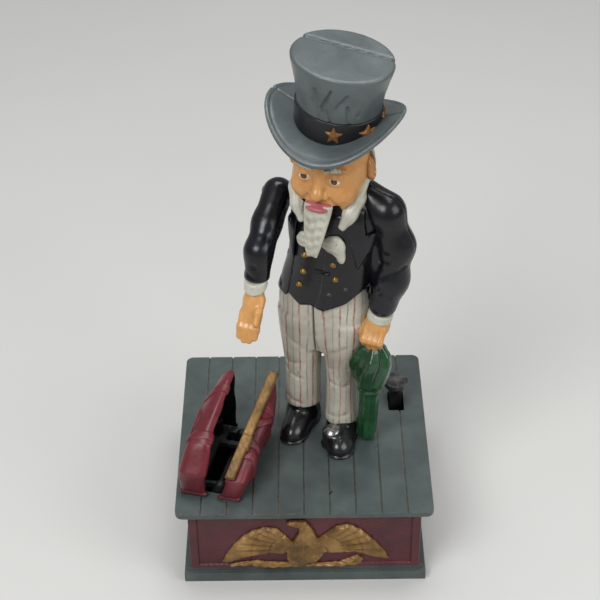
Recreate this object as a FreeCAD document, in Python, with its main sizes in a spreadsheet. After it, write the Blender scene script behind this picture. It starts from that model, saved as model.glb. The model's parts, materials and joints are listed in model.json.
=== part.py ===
import FreeCAD, Part
import math
import os
import Sketcher

# Mechanical bank: a standing figure on a planked box, with a bag that opens.
# Millimetres, +Z up, origin at the bottom centre of the bounding box.
# The rest pose is the pressed one: arm down, bag open, knob held down.

Vector = FreeCAD.Vector
Rotation = FreeCAD.Rotation
Placement = FreeCAD.Placement
X_AXIS = Vector(1, 0, 0)
Y_AXIS = Vector(0, 1, 0)
Z_AXIS = Vector(0, 0, 1)

doc = FreeCAD.newDocument("mechanical_bank")

SIZES = [
    ("deck_width", 132, "deck plate, left to right"),
    ("deck_depth", 125, "deck plate, front to back"),
    ("deck_thick", 3, "deck plate thickness"),
    ("deck_top", 52, "height of the deck's upper face"),
    ("deck_corner", 4, "corner radius of the deck"),
    ("plank_pitch", 13.2, "spacing of the plank grooves"),
    ("groove_width", 0.9, "width of a plank groove"),
    ("groove_depth", 0.8, "depth of a plank groove"),
    ("box_width", 120, "box walls, left to right"),
    ("box_depth", 114, "box walls, front to back"),
    ("wall_thick", 3, "box wall thickness"),
    ("panel_border", 6, "raised border of a panel"),
    ("panel_recess", 1, "depth of a panel's field"),
    ("relief_height", 2.4, "height of the bird relief"),
    ("plinth_width", 127, "plinth, left to right"),
    ("plinth_depth", 120, "plinth, front to back"),
    ("plinth_tall", 9, "plinth height"),
    ("plinth_step", 6, "height of the plinth's lower moulding"),
    ("step_in", 2, "set-back of the upper moulding"),
    ("floor_low", 4.5, "underside of the plinth floor"),
    ("floor_thick", 2.5, "plinth floor thickness"),
    ("rim_width", 7, "width of the plinth rim"),
    ("door_hole", 18, "radius of the coin door hole"),
    ("door_radius", 21, "radius of the coin door"),
    ("door_thick", 1.6, "coin door thickness"),
    ("bolt_radius", 2, "base bolt radius"),
    ("shaft_radius", 2.5, "rocking shaft radius"),
    ("shaft_height", 30, "height of the rocking shaft"),
    ("rocker_swing", 14, "swing of the thumb lever, degrees"),
    ("rod_radius", 1.2, "push rod radius"),
    ("rod_travel", 6.8, "travel of the push rod"),
    ("arm_swing", 55, "swing of the right arm, degrees"),
    ("jaw_swing", 10, "swing of the jaw, degrees"),
    ("bag_swing", 19, "swing of the bag's moving half, degrees"),
    ("bag_length", 58, "bag, front to back"),
    ("bag_tall", 40, "bag height at the back"),
    ("running_gap", 0.05, "radial clearance of a running fit"),
    ("figure_turn", 22, "turn of the figure to its right, degrees"),
    ("shoulder_height", 194, "height of the shoulder shaft"),
    ("arm_shaft_radius", 2, "shoulder shaft radius"),
    ("jaw_height", 208, "height of the jaw pin"),
    ("jaw_pin_radius", 1.2, "jaw pin radius"),
    ("cam_throw", 2, "throw of the jaw pin on the shoulder shaft"),
    ("casting_wall", 3, "wall of the hollow castings"),
    ("knob_radius", 6.5, "thumb knob radius"),
    ("stalk_width", 7, "thickness of the thumb lever"),
]

sheet = doc.addObject("Spreadsheet::Sheet", "Sizes")
size = {}
for row, (name, value, meaning) in enumerate(SIZES, start=1):
    sheet.set("A%d" % row, name)
    sheet.set("B%d" % row, str(value))
    sheet.set("C%d" % row, meaning)
    sheet.setAlias("B%d" % row, name)
    size[name] = float(value)
doc.recompute()

exported = []


def number(value):
    """A plain number, or the value of a sheet name."""
    if isinstance(value, str):
        return size[value]
    return float(value)


def bind(item, prop, value):
    """Set a size, bound to the sheet when it is given by name."""
    if isinstance(value, str):
        item.setExpression(prop, "Sizes." + value)
    else:
        setattr(item, prop, value)


def keep(item, label):
    """Mark an object as a finished sub-part."""
    item.Label = label
    exported.append(item)
    return item


# ---- Part primitives and booleans -------------------------------------------

def block(name, width, depth, tall, centre, turn=0):
    """A box with its bottom face centred on a point."""
    item = doc.addObject("Part::Box", name)
    bind(item, "Length", width)
    bind(item, "Width", depth)
    bind(item, "Height", tall)
    spin = Rotation(Z_AXIS, turn)
    corner = spin.multVec(Vector(-number(width) / 2, -number(depth) / 2, 0))
    item.Placement = Placement(Vector(*centre) + corner, spin)
    return item


def rod(name, radius, length, start, axis=Z_AXIS):
    """A cylinder from a point along an axis."""
    item = doc.addObject("Part::Cylinder", name)
    bind(item, "Radius", radius)
    bind(item, "Height", length)
    item.Placement = Placement(Vector(*start), Rotation(Z_AXIS, Vector(*axis)))
    return item


def fuse(name, items):
    item = doc.addObject("Part::MultiFuse", name)
    item.Shapes = items
    return item


def cut(name, base, tools):
    """Base less one tool or several."""
    item = doc.addObject("Part::Cut", name)
    item.Base = base
    item.Tool = tools[0] if len(tools) == 1 else fuse(name + "_tools", tools)
    return item


def solid(name, shape, placement=None):
    """A document object that holds a computed shape."""
    item = doc.addObject("Part::Feature", name)
    item.Shape = shape
    if placement is not None:
        item.Placement = placement
    return item


# ---- PartDesign bodies ------------------------------------------------------

def new_body(name):
    return doc.addObject("PartDesign::Body", name)


def plane_sketch(body, name, plane, at=(0, 0, 0), turn=0):
    """An empty sketch on one of the body's origin planes."""
    sketch = body.newObject("Sketcher::SketchObject", name)
    support = [item for item in body.Origin.OriginFeatures if item.Role == plane][0]
    sketch.AttachmentSupport = [(support, "")]
    sketch.MapMode = "FlatFace"
    sketch.AttachmentOffset = Placement(Vector(*at), Rotation(Z_AXIS, turn))
    return sketch


def rectangle(body, name, plane, width, depth, at=(0, 0, 0), turn=0):
    """A rectangle centred on its sketch origin."""
    sketch = plane_sketch(body, name, plane, at, turn)
    half_w = number(width) / 2
    half_d = number(depth) / 2
    corners = [Vector(-half_w, -half_d, 0), Vector(half_w, -half_d, 0),
               Vector(half_w, half_d, 0), Vector(-half_w, half_d, 0)]
    for index in range(4):
        sketch.addGeometry(Part.LineSegment(corners[index], corners[(index + 1) % 4]))
    for index in range(4):
        sketch.addConstraint(Sketcher.Constraint("Coincident", index, 2, (index + 1) % 4, 1))
    for index in range(4):
        sketch.addConstraint(Sketcher.Constraint(("Horizontal", "Vertical")[index % 2], index))
    sketch.addConstraint(Sketcher.Constraint("Symmetric", 0, 1, 1, 2, -1, 1))
    for axis_name, line, extent in (("DistanceX", 0, width), ("DistanceY", 1, depth)):
        place = sketch.addConstraint(
            Sketcher.Constraint(axis_name, line, 1, line, 2, number(extent)))
        if isinstance(extent, str):
            sketch.setExpression("Constraints[%d]" % place, "Sizes." + extent)
    return sketch


def circle(body, name, plane, radius, at=(0, 0, 0)):
    """A circle centred on its sketch origin."""
    sketch = plane_sketch(body, name, plane, at)
    sketch.addGeometry(Part.Circle(Vector(0, 0, 0), Z_AXIS, number(radius)))
    sketch.addConstraint(Sketcher.Constraint("Coincident", 0, 3, -1, 1))
    place = sketch.addConstraint(Sketcher.Constraint("Radius", 0, number(radius)))
    if isinstance(radius, str):
        sketch.setExpression("Constraints[%d]" % place, "Sizes." + radius)
    return sketch


def pad(body, name, sketch, length, reverse=False):
    item = body.newObject("PartDesign::Pad", name)
    item.Profile = sketch
    bind(item, "Length", length)
    item.Reversed = reverse
    return item


def pocket(body, name, sketch, length, reverse=False):
    item = body.newObject("PartDesign::Pocket", name)
    item.Profile = sketch
    bind(item, "Length", length)
    item.Reversed = reverse
    return item


# ---- Sculpted shapes --------------------------------------------------------

def oval(cx, cy, z, half_x, half_y):
    """A level oval outline."""
    ring = Part.Wire([Part.makeCircle(1)])
    scale = FreeCAD.Matrix(half_x, 0, 0, cx, 0, half_y, 0, cy, 0, 0, 1, z, 0, 0, 0, 1)
    return ring.transformGeometry(scale)


def skin(rings):
    """A closed loft with straight runs between its outlines."""
    return Part.makeLoft(rings, True, True)


def ellipsoid(centre, radii, turn=0):
    ball = Part.makeSphere(1)
    scale = FreeCAD.Matrix(radii[0], 0, 0, 0, 0, radii[1], 0, 0, 0, 0, radii[2], 0, 0, 0, 0, 1)
    ball = ball.transformGeometry(scale)
    ball.Placement = Placement(Vector(*centre), Rotation(Z_AXIS, turn))
    return ball


def union(shapes):
    joined = shapes[0]
    for shape in shapes[1:]:
        joined = joined.fuse(shape)
    return joined


# ---- Layout worked out from the driving sizes -------------------------------

deck_bottom = size["deck_top"] - size["deck_thick"]
wall_tall = deck_bottom - size["plinth_tall"]

# The figure's own frame: x to its left, -y to its front, turned on the deck.
figure_foot = Vector(10.65, 9.0, 0)
figure_place = Placement(figure_foot, Rotation(Z_AXIS, -size["figure_turn"]))


def from_figure(x, y, z):
    return figure_place.multVec(Vector(x, y, z))


half_arm_swing = math.radians(size["arm_swing"] / 2)
crank_throw = size["rod_travel"] / (2 * math.sin(half_arm_swing))
rod_side = -9.5
rod_front = -crank_throw * (1 + math.cos(half_arm_swing)) / 2
rod_line = from_figure(rod_side, rod_front, 0)

half_rock = math.radians(size["rocker_swing"] / 2)
rod_arm_length = size["rod_travel"] / (2 * half_rock)
shaft_y = rod_line.y - rod_arm_length
shaft_z = size["shaft_height"]
tip_radius = 3.0
contact_gap = 0.3

half_jaw_swing = math.radians(size["jaw_swing"] / 2)
link_travel = 2 * size["cam_throw"] * math.sin(half_arm_swing)
jaw_tail = link_travel / (2 * math.sin(half_jaw_swing))
link_front = -size["cam_throw"] * (1 + math.cos(half_arm_swing)) / 2
jaw_front = link_front - jaw_tail * (1 + math.cos(half_jaw_swing)) / 2

# The bag's own frame: x to the right, y to the back, turned on the deck.
bag_turn = -14.7
bag_place = Placement(Vector(-42.0, -23.65, 0), Rotation(Z_AXIS, bag_turn))
bag_hinge_z = 44.0
bag_ear_y = 20.0


def from_bag(x, y, z):
    return bag_place.multVec(Vector(x, y, z))


# The bag's tail is as long as the rocker's lift at that place calls for.
bag_tip_rise = 7.05
swing = math.radians(size["rocker_swing"])
half_bag_swing = math.radians(size["bag_swing"] / 2)
tail_length = 10.0
for _ in range(8):
    tail_tip = from_bag(tail_length, bag_ear_y, 0)
    bag_reach = tail_tip.y - shaft_y
    lift = bag_reach * math.sin(swing) - bag_tip_rise * (1 - math.cos(swing))
    tail_length = lift / (2 * math.sin(half_bag_swing))

lever_x = 51.0
stalk_y = 26.0

# ---- Deck -------------------------------------------------------------------

body = new_body("deck_plate")
plate = pad(body, "deck_pad", rectangle(body, "deck_outline", "XY_Plane", "deck_width",
                                        "deck_depth", (0, 0, deck_bottom)), "deck_thick")
doc.recompute()
upright = [("Edge%d" % (index + 1)) for index, edge in enumerate(plate.Shape.Edges)
           if abs(edge.tangentAt(edge.FirstParameter).z) > 0.99]
rounding = body.newObject("PartDesign::Fillet", "deck_rounding")
rounding.Base = (plate, upright)
bind(rounding, "Radius", "deck_corner")
first_groove = rectangle(body, "groove_outline", "XY_Plane", "groove_width", 130,
                         (-4 * size["plank_pitch"], 0, size["deck_top"]))
groove = pocket(body, "groove", first_groove, "groove_depth")
doc.recompute()
pattern = body.newObject("PartDesign::LinearPattern", "grooves")
pattern.Originals = [groove]
pattern.Direction = (first_groove, ["H_Axis"])
pattern.Length = 8 * size["plank_pitch"]
pattern.Occurrences = 9
body.Tip = pattern
slot_pocket = pocket(body, "lever_slot",
                     rectangle(body, "lever_slot_outline", "XY_Plane", 8.6, 15.4,
                               (lever_x, 23.1, size["deck_top"])), 10)
peep_hole = pocket(body, "deck_screw_hole",
                   circle(body, "deck_screw_outline", "XY_Plane", 0.9,
                          (13.8, -47.0, size["deck_top"])), 10)
body.Tip = peep_hole

corner_x = size["box_width"] / 2 - size["wall_thick"] - 6.5
corner_y = size["box_depth"] / 2 - size["wall_thick"] - 6.5
corners = [(sx * corner_x, sy * corner_y) for sx in (-1, 1) for sy in (-1, 1)]
shaft_lugs = (-34.0, 9.5, 44.5)
bag_lug_y = 25.0
screw_places = [(-10.4, -21.5), (-10.4, 21.5)]
shoe_hole = (12.0, -16.5)

lumps = [body]
for index, (cx, cy) in enumerate(corners):
    lumps.append(rod("corner_boss_%d" % index, 4.5, 12, (cx, cy, deck_bottom - 12)))
for index, lug_x in enumerate(shaft_lugs):
    tall = deck_bottom - shaft_z
    lumps.append(block("shaft_lug_%d" % index, 3, 11, tall, (lug_x, shaft_y, shaft_z)))
    lumps.append(rod("shaft_lug_end_%d" % index, 5.5, 3, (lug_x - 1.5, shaft_y, shaft_z), X_AXIS))
for index, side in enumerate((-1, 1)):
    spot = from_bag(0, side * bag_lug_y, bag_hinge_z)
    tall = deck_bottom - bag_hinge_z
    lumps.append(block("bag_lug_%d" % index, 7, 3, tall, spot, bag_turn))
    start = from_bag(0, side * bag_lug_y - 1.5, bag_hinge_z)
    lumps.append(rod("bag_lug_end_%d" % index, 3.5, 3, start, from_bag(0, 1, 0) - from_bag(0, 0, 0)))
spring_x = rod_line.x + 6.3
spring_y = shaft_y + 16.5 * math.cos(half_rock)
hook_z = 46.0
lumps.append(block("spring_lug", 1.6, 5, deck_bottom - hook_z + 1.9,
                   (spring_x, spring_y, hook_z - 1.9)))
deck_solid = fuse("deck_solid", lumps)

holes = []
for index, (cx, cy) in enumerate(corners):
    holes.append(rod("corner_bore_%d" % index, 2.05, 11, (cx, cy, deck_bottom - 13)))
holes.append(rod("shaft_bore", size["shaft_radius"] + size["running_gap"], 100,
                 (-40, shaft_y, shaft_z), X_AXIS))
bag_axis = from_bag(0, 1, 0) - from_bag(0, 0, 0)
holes.append(rod("bag_pin_bore", 1.55, 60, from_bag(0, -30, bag_hinge_z), bag_axis))
holes.append(rod("push_rod_bore", 2.0, 10, (rod_line.x, rod_line.y, 45)))
holes.append(rod("shoe_screw_bore", 2.05, 10, from_figure(shoe_hole[0], shoe_hole[1], 45)))
holes.append(rod("spring_hook_bore", 1.2, 6, (spring_x - 3, spring_y, hook_z), X_AXIS))
holes.append(block("coin_chute", 11.5, 29, 10, from_bag(-1.25, -0.5, 45), bag_turn))
for index, side in enumerate((-1, 1)):
    holes.append(block("ear_slot_%d" % index, 11.6, 6.4, 19.5,
                       from_bag(1.4, side * bag_ear_y, 39.4), bag_turn))
for index, (bx, by) in enumerate(screw_places):
    holes.append(rod("bag_screw_bore_%d" % index, 1.55, 10, from_bag(bx, by, 45)))
deck = keep(cut("deck_part", deck_solid, holes), "deck")

# ---- Box walls --------------------------------------------------------------

BIRD = [(-42.5, 12.5), (-37, 21), (-28.5, 30.5), (-17, 37.5), (-12.5, 33.5), (-9, 36),
        (-11.5, 40.8), (-6.5, 42.6), (-1, 40.5), (1.5, 36), (2.5, 31), (9, 29.5),
        (13, 34), (20, 40), (31.5, 32.5), (39.5, 23.5), (44.5, 14.5), (31, 18.5),
        (22, 18), (30.5, 11.2), (24, 12.6), (14.5, 11.5), (4, 14), (-4, 11.6),
        (-13.5, 13.2), (-21, 16.8), (-30, 15)]


def wall(label, plane, wide, offset, relief, notches=()):
    """A box wall drawn from outside: plate, recessed field and an optional relief."""
    body = new_body(label + "_body")
    middle = size["plinth_tall"] + wall_tall / 2
    outline = rectangle(body, label + "_outline", plane, wide, wall_tall, (0, middle, offset))
    pad(body, label + "_plate", outline, "wall_thick", offset < 0)
    sign = 1 if offset > 0 else -1
    face = offset + sign * size["wall_thick"]
    field = rectangle(body, label + "_field", plane, number(wide) - 2 * size["panel_border"],
                      wall_tall - size["panel_border"], (0, middle, face))
    tip = pocket(body, label + "_recess", field, "panel_recess", offset < 0)
    if relief:
        shape = plane_sketch(body, label + "_bird", plane, (0, 0, face - sign * size["panel_recess"]))
        curve = Part.BSplineCurve()
        curve.interpolate([Vector(x, z, 0) for x, z in BIRD], True)
        shape.addGeometry(curve)
        tip = pad(body, label + "_relief", shape, "relief_height", offset < 0)
    body.Tip = tip
    return keep(cut(label + "_part", body, notches) if notches else body, label)


inner_y = size["box_depth"] / 2 - size["wall_thick"]
inner_x = size["box_width"] / 2 - size["wall_thick"]
side_run = 2 * inner_y
# On the XZ plane a sketch looks along +Y, so its normal points to the front.
wall("front_panel", "XZ_Plane", "box_width", inner_y, True)
wall("rear_panel", "XZ_Plane", "box_width", -inner_y, False)
wall("right_panel", "YZ_Plane", side_run, inner_x, False)
head_spot = from_bag(*screw_places[0], deck_bottom - 2.4)
wall("left_panel", "YZ_Plane", side_run, -inner_x, False,
     [block("screw_notch", 9, 9, 3, head_spot)])

# ---- Plinth, coin door and base bolts ---------------------------------------

body = new_body("plinth_body")
pad(body, "plinth_foot", rectangle(body, "foot_outline", "XY_Plane", "plinth_width",
                                   "plinth_depth"), "plinth_step")
pad(body, "plinth_upper",
    rectangle(body, "upper_outline", "XY_Plane", size["plinth_width"] - 2 * size["step_in"],
              size["plinth_depth"] - 2 * size["step_in"], (0, 0, size["plinth_step"])),
    size["plinth_tall"] - size["plinth_step"])
pocket(body, "plinth_inside",
       rectangle(body, "inside_outline", "XY_Plane", 2 * inner_x, 2 * inner_y,
                 (0, 0, size["plinth_tall"])),
       size["plinth_tall"] - size["floor_low"] - size["floor_thick"])
pocket(body, "plinth_under",
       rectangle(body, "under_outline", "XY_Plane", size["plinth_width"] - 2 * size["rim_width"],
                 size["plinth_depth"] - 2 * size["rim_width"]), "floor_low", True)
tip = pocket(body, "door_hole_cut", circle(body, "door_hole_outline", "XY_Plane", "door_hole",
                                           (0, 0, size["plinth_tall"])), 20)
body.Tip = tip
door_y = 0.0
door_screw_y = -27.0
floor_bores = [rod("floor_bore_%d" % index, 2.3, 20, (cx, cy, 0))
               for index, (cx, cy) in enumerate(corners)]
floor_bores.append(rod("door_screw_bore", 1.55, 20, (0, door_screw_y, 0)))
keep(cut("plinth_part", body, floor_bores), "plinth")

door_z = size["floor_low"] - 0.3 - size["door_thick"]
door_plate = fuse("door_plate", [
    rod("door_disc", "door_radius", "door_thick", (0, door_y, door_z)),
    block("door_tongue", 14, -door_screw_y, "door_thick", (0, door_screw_y / 2, door_z)),
    rod("door_lobe", 7, "door_thick", (0, door_screw_y, door_z))])
keep(cut("door_part", door_plate,
         [rod("door_bore", 1.55, 6, (0, door_screw_y, door_z - 2))]), "trap_door")
keep(fuse("door_screw_part", [
    rod("door_screw_shank", 1.5, 7.4, (0, door_screw_y, door_z - 0.3)),
    rod("door_screw_head", 3.2, 1.5, (0, door_screw_y, door_z - 1.8)),
    rod("door_screw_nut", 3.0, 2.0, (0, door_screw_y, size["floor_low"] + size["floor_thick"]))]),
    "trap_screw")

bolts = []
for index, (cx, cy) in enumerate(corners):
    bolts.append(fuse("base_bolt_%d" % index, [
        rod("bolt_shank_%d" % index, "bolt_radius", 37.6, (cx, cy, size["floor_low"] - 0.5)),
        rod("bolt_head_%d" % index, 4.2, 2.6, (cx, cy, size["floor_low"] - 2.6))]))
bolt_group = doc.addObject("Part::Compound", "base_bolt_group")
bolt_group.Links = bolts
keep(bolt_group, "base_bolts")

# ---- Rocking shaft with its arms --------------------------------------------

keep(rod("rock_shaft_part", "shaft_radius", 90.5, (-36.2, shaft_y, shaft_z), X_AXIS), "rock_shaft")


def side_plate(name, x, thick, points):
    """A plate square to X, from points given as reach behind the shaft and rise."""
    corners = [Vector(x - thick / 2, shaft_y + reach, shaft_z + rise) for reach, rise in points]
    outline = Part.makePolygon(corners + corners[:1])
    return solid(name, Part.Face(outline).extrude(Vector(thick, 0, 0)))


def hub(name, x, thick, radius=6.0):
    return rod(name, radius, thick, (x - thick / 2, shaft_y, shaft_z), X_AXIS)


def bored(name, item, x, length):
    """Bore an arm for the shaft and for its upright cross pin."""
    shaft_hole = rod(name + "_bore", size["shaft_radius"] + 0.01, length + 4,
                     (x - length / 2 - 2, shaft_y, shaft_z), X_AXIS)
    pin_hole = rod(name + "_pin_bore", 0.95, 14, (x, shaft_y, shaft_z - 7))
    return cut(name, item, [shaft_hole, pin_hole])


stalk_reach = stalk_y - shaft_y
stalk = size["stalk_width"]
knob_z = 64.6
thumb = fuse("thumb_solid", [
    hub("thumb_hub", lever_x, stalk),
    side_plate("thumb_bar", lever_x, stalk,
               [(0, -5), (stalk_reach - 6, -2.5), (stalk_reach + 1, 0.5), (stalk_reach + 3.2, 4),
                (stalk_reach + 2.6, 29), (stalk_reach - 2.6, 29), (stalk_reach - 3.4, 5),
                (0, 5)]),
    solid("thumb_neck", Part.makeCone(3.6, 5.6, 6.5, Vector(lever_x, stalk_y, knob_z - 8.5))),
    rod("thumb_knob", "knob_radius", 2.6, (lever_x, stalk_y, knob_z - 2.6))])
keep(bored("thumb_part", thumb, lever_x, stalk), "thumb_lever")

tip_drop = rod_arm_length * math.sin(half_rock)
tip_reach = rod_arm_length * math.cos(half_rock)
peg_reach = 16.5 * math.cos(half_rock)
peg_drop = 16.5 * math.sin(half_rock)
lifter = fuse("lifter_solid", [
    hub("lifter_hub", rod_line.x, 5),
    side_plate("lifter_bar", rod_line.x, 5,
               [(0, -4.5), (tip_reach, -tip_drop - 2.4), (tip_reach, -tip_drop + 2.4), (0, 4.5)]),
    rod("lifter_tip", tip_radius, 5, (rod_line.x - 2.5, shaft_y + tip_reach, shaft_z - tip_drop), X_AXIS),
    rod("spring_peg", 1.2, 6.5, (rod_line.x + 2, shaft_y + peg_reach, shaft_z - peg_drop), X_AXIS)])
keep(bored("lifter_part", lifter, rod_line.x, 5), "rod_arm")

bag_arm_x = tail_tip.x
finger = fuse("finger_solid", [
    hub("finger_hub", bag_arm_x, 5),
    side_plate("finger_bar", bag_arm_x, 5,
               [(0, -4.5), (bag_reach + 1.5, bag_tip_rise - 4.5), (bag_reach + 2.5, bag_tip_rise),
                (bag_reach - 2.5, bag_tip_rise), (bag_reach - 6, 2), (0, 5)]),
    rod("finger_tip", 2.5, 5, (bag_arm_x - 2.5, tail_tip.y, shaft_z + bag_tip_rise), X_AXIS)])
keep(bored("finger_part", finger, bag_arm_x, 5), "bag_arm")

pins = [rod("lever_pin_%d" % index, 0.9, 13, (x, shaft_y, shaft_z - 6.5))
        for index, x in enumerate((lever_x, rod_line.x, bag_arm_x))]
pin_group = doc.addObject("Part::Compound", "lever_pin_group")
pin_group.Links = pins
keep(pin_group, "lever_pins")
pin_slots = [rod("shaft_pin_bore_%d" % index, 0.95, 8, (x, shaft_y, shaft_z - 4))
             for index, x in enumerate((lever_x, rod_line.x, bag_arm_x))]
plain_shaft = exported.pop([item.Label for item in exported].index("rock_shaft"))
plain_shaft.Label = "plain_shaft"
keep(cut("rock_shaft_bored", plain_shaft, pin_slots), "rock_shaft")

# ---- Return spring ----------------------------------------------------------

wire = 0.5
loop = 2.2
spring_low = shaft_z - peg_drop
coil_low = spring_low + loop + 1.6
coil_high = hook_z - 2 * loop - 1.6
coil_turns = 6
helix = Part.makeHelix((coil_high - coil_low) / coil_turns, coil_high - coil_low, 2.6)
profile = Part.Wire([Part.makeCircle(wire, Vector(2.6, 0, 0), Y_AXIS)])
coil = Part.Wire(helix).makePipeShell([profile], True, False)
coil.translate(Vector(spring_x, spring_y, coil_low))
pieces = [coil]
for level, ring_z, ring_axis in ((coil_low, spring_low, X_AXIS), (coil_high, hook_z - loop, Y_AXIS)):
    reach = spring_low + loop if level == coil_low else hook_z - 2 * loop
    pieces.append(Part.makeTorus(loop, wire, Vector(spring_x, spring_y, ring_z), ring_axis))
    pieces.append(Part.makeCylinder(wire, 2.6, Vector(spring_x, spring_y, level), X_AXIS))
    pieces.append(Part.makeCylinder(wire, abs(level - reach), Vector(spring_x, spring_y, min(level, reach))))
    pieces.append(Part.makeSphere(wire, Vector(spring_x, spring_y, level)))
    pieces.append(Part.makeSphere(wire, Vector(spring_x + 2.6, spring_y, level)))
keep(solid("return_spring_part", pieces[0].fuse(pieces[1:])), "return_spring")

# ---- Push rod ---------------------------------------------------------------

crank_pin_radius = 1.2
eye_z = size["shoulder_height"] - size["rod_travel"] / 2
rod_low = shaft_z - tip_drop + tip_radius + contact_gap
eye = block("rod_eye", 2.6, 6.2, 5.6, (rod_side, rod_front, eye_z - 2.8))
slot_run = 2 * crank_pin_radius + (crank_throw - crank_throw * math.cos(half_arm_swing)) + 0.8
eye_slot = fuse("rod_eye_slot", [
    block("rod_slot_flat", 6, slot_run - 2.9, 2.9, (rod_side, rod_front, eye_z - 1.45)),
    rod("rod_slot_a", 1.45, 6, (rod_side - 3, rod_front - slot_run / 2 + 1.45, eye_z), X_AXIS),
    rod("rod_slot_b", 1.45, 6, (rod_side - 3, rod_front + slot_run / 2 - 1.45, eye_z), X_AXIS)])
push_rod = cut("push_rod_part", fuse("rod_solid", [
    rod("rod_wire", "rod_radius", eye_z - 2.2 - rod_low, (rod_side, rod_front, rod_low)),
    rod("rod_foot", 3.2, 2.4, (rod_side, rod_front, rod_low)), eye]), [eye_slot])
push_rod.Placement = figure_place
keep(push_rod, "push_rod")

# ---- Shoulder shaft, crank and jaw link -------------------------------------

shoulder_z = size["shoulder_height"]
torso_side = -16.2
arm_side = -17.2
low = math.sin(half_arm_swing)
level = math.cos(half_arm_swing)
crank_pin_y = -crank_throw * level
crank_pin_z = shoulder_z - crank_throw * low
cam_pin_y = -size["cam_throw"] * level
cam_pin_z = shoulder_z - size["cam_throw"] * low

arm_shaft = fuse("arm_shaft_part", [
    rod("arm_shaft_bar", "arm_shaft_radius", 29.4, (-31.4, 0, shoulder_z), X_AXIS),
    rod("arm_shaft_disc", 3.6, 1.6, (-2.6, 0, shoulder_z), X_AXIS),
    rod("arm_shaft_cam", 1.0, 4.2, (-1.2, cam_pin_y, cam_pin_z), X_AXIS)])
arm_shaft.Placement = figure_place
keep(arm_shaft, "arm_shaft")

web_line = Part.makePolygon([
    Vector(-12.8, 2.6 * low, shoulder_z - 2.6 * level), Vector(-12.8, crank_pin_y + 2.2 * low, crank_pin_z - 2.2 * level),
    Vector(-12.8, crank_pin_y - 2.2 * low, crank_pin_z + 2.2 * level), Vector(-12.8, -2.6 * low, shoulder_z + 2.6 * level),
    Vector(-12.8, 2.6 * low, shoulder_z - 2.6 * level)])
crank = cut("arm_crank_part", fuse("crank_solid", [
    solid("crank_web", Part.Face(web_line).extrude(Vector(1.6, 0, 0))),
    rod("crank_boss", 3.6, 1.6, (-12.8, 0, shoulder_z), X_AXIS),
    rod("crank_end", 2.2, 1.6, (-12.8, crank_pin_y, crank_pin_z), X_AXIS),
    rod("crank_pin", crank_pin_radius, 5.0, (-12.8, crank_pin_y, crank_pin_z), X_AXIS)]),
    [rod("crank_bore", 2.01, 4, (-14, 0, shoulder_z), X_AXIS)])
crank.Placement = figure_place
keep(crank, "arm_crank")

jaw_z = size["jaw_height"]
tail_drop = jaw_tail * math.sin(half_jaw_swing)
link_top = jaw_z - tail_drop


def link_eye(name, z):
    """A slotted eye around a pin of 1 mm radius."""
    slot = fuse(name, [
        rod(name + "_a", 1.3, 6, (-2, link_front - 0.3, z), X_AXIS),
        rod(name + "_b", 1.3, 6, (-2, link_front + 0.3, z), X_AXIS)])
    return slot


link = cut("jaw_link_part", fuse("link_solid", [
    block("link_strap", 1.6, 2.6, link_top - cam_pin_z, (1.0, link_front, cam_pin_z)),
    rod("link_low", 2.5, 1.6, (0.2, link_front, cam_pin_z), X_AXIS),
    rod("link_high", 2.5, 1.6, (0.2, link_front, link_top), X_AXIS)]),
    [link_eye("link_slot_low", cam_pin_z), link_eye("link_slot_high", link_top)])
link.Placement = figure_place
keep(link, "jaw_link")

# ---- Jaw with the beard -----------------------------------------------------

head_x = 5.5
tail_y = jaw_front + jaw_tail * math.cos(half_jaw_swing)
beard = skin([oval(head_x, -20.6, 208.0, 8.2, 3.2), oval(head_x + 0.2, -20.9, 203.0, 8.0, 3.6),
              oval(head_x + 0.6, -22.0, 194.0, 6.0, 3.6), oval(head_x + 1.2, -24.2, 184.5, 3.4, 2.6)])
jaw_parts = [beard,
             Part.makeBox(8, 12, 4.4, Vector(head_x - 4, -20.5, 202.6)),
             Part.makeCylinder(3.2, 8, Vector(2.5, jaw_front, jaw_z), X_AXIS),
             Part.makeBox(8, 5.4, 5, Vector(head_x - 4, jaw_front - 3, 203.2))]
tail_line = Part.makePolygon([
    Vector(2.5, jaw_front, jaw_z - 2.0), Vector(2.5, tail_y + 1.2, link_top - 1.6),
    Vector(2.5, tail_y + 1.2, link_top + 1.6), Vector(2.5, jaw_front, jaw_z + 2.0),
    Vector(2.5, jaw_front, jaw_z - 2.0)])
jaw_parts.append(Part.Face(tail_line).extrude(Vector(2.4, 0, 0)))
jaw_parts.append(Part.makeCylinder(1.0, 3.2, Vector(0.0, tail_y, link_top), X_AXIS))
jaw_bore = Part.makeCylinder(size["jaw_pin_radius"] + size["running_gap"], 20,
                             Vector(-5, jaw_front, jaw_z), X_AXIS)
keep(solid("jaw_part", union(jaw_parts).cut(jaw_bore), figure_place), "jaw_beard")
jaw_pin = rod("jaw_pin_part", "jaw_pin_radius", 28, (-8.5, jaw_front, jaw_z), X_AXIS)
jaw_pin.Placement = figure_place.multiply(jaw_pin.Placement)
keep(jaw_pin, "jaw_pin")

# ---- The figure: one outline, hollowed, parted into two castings ------------

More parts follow.
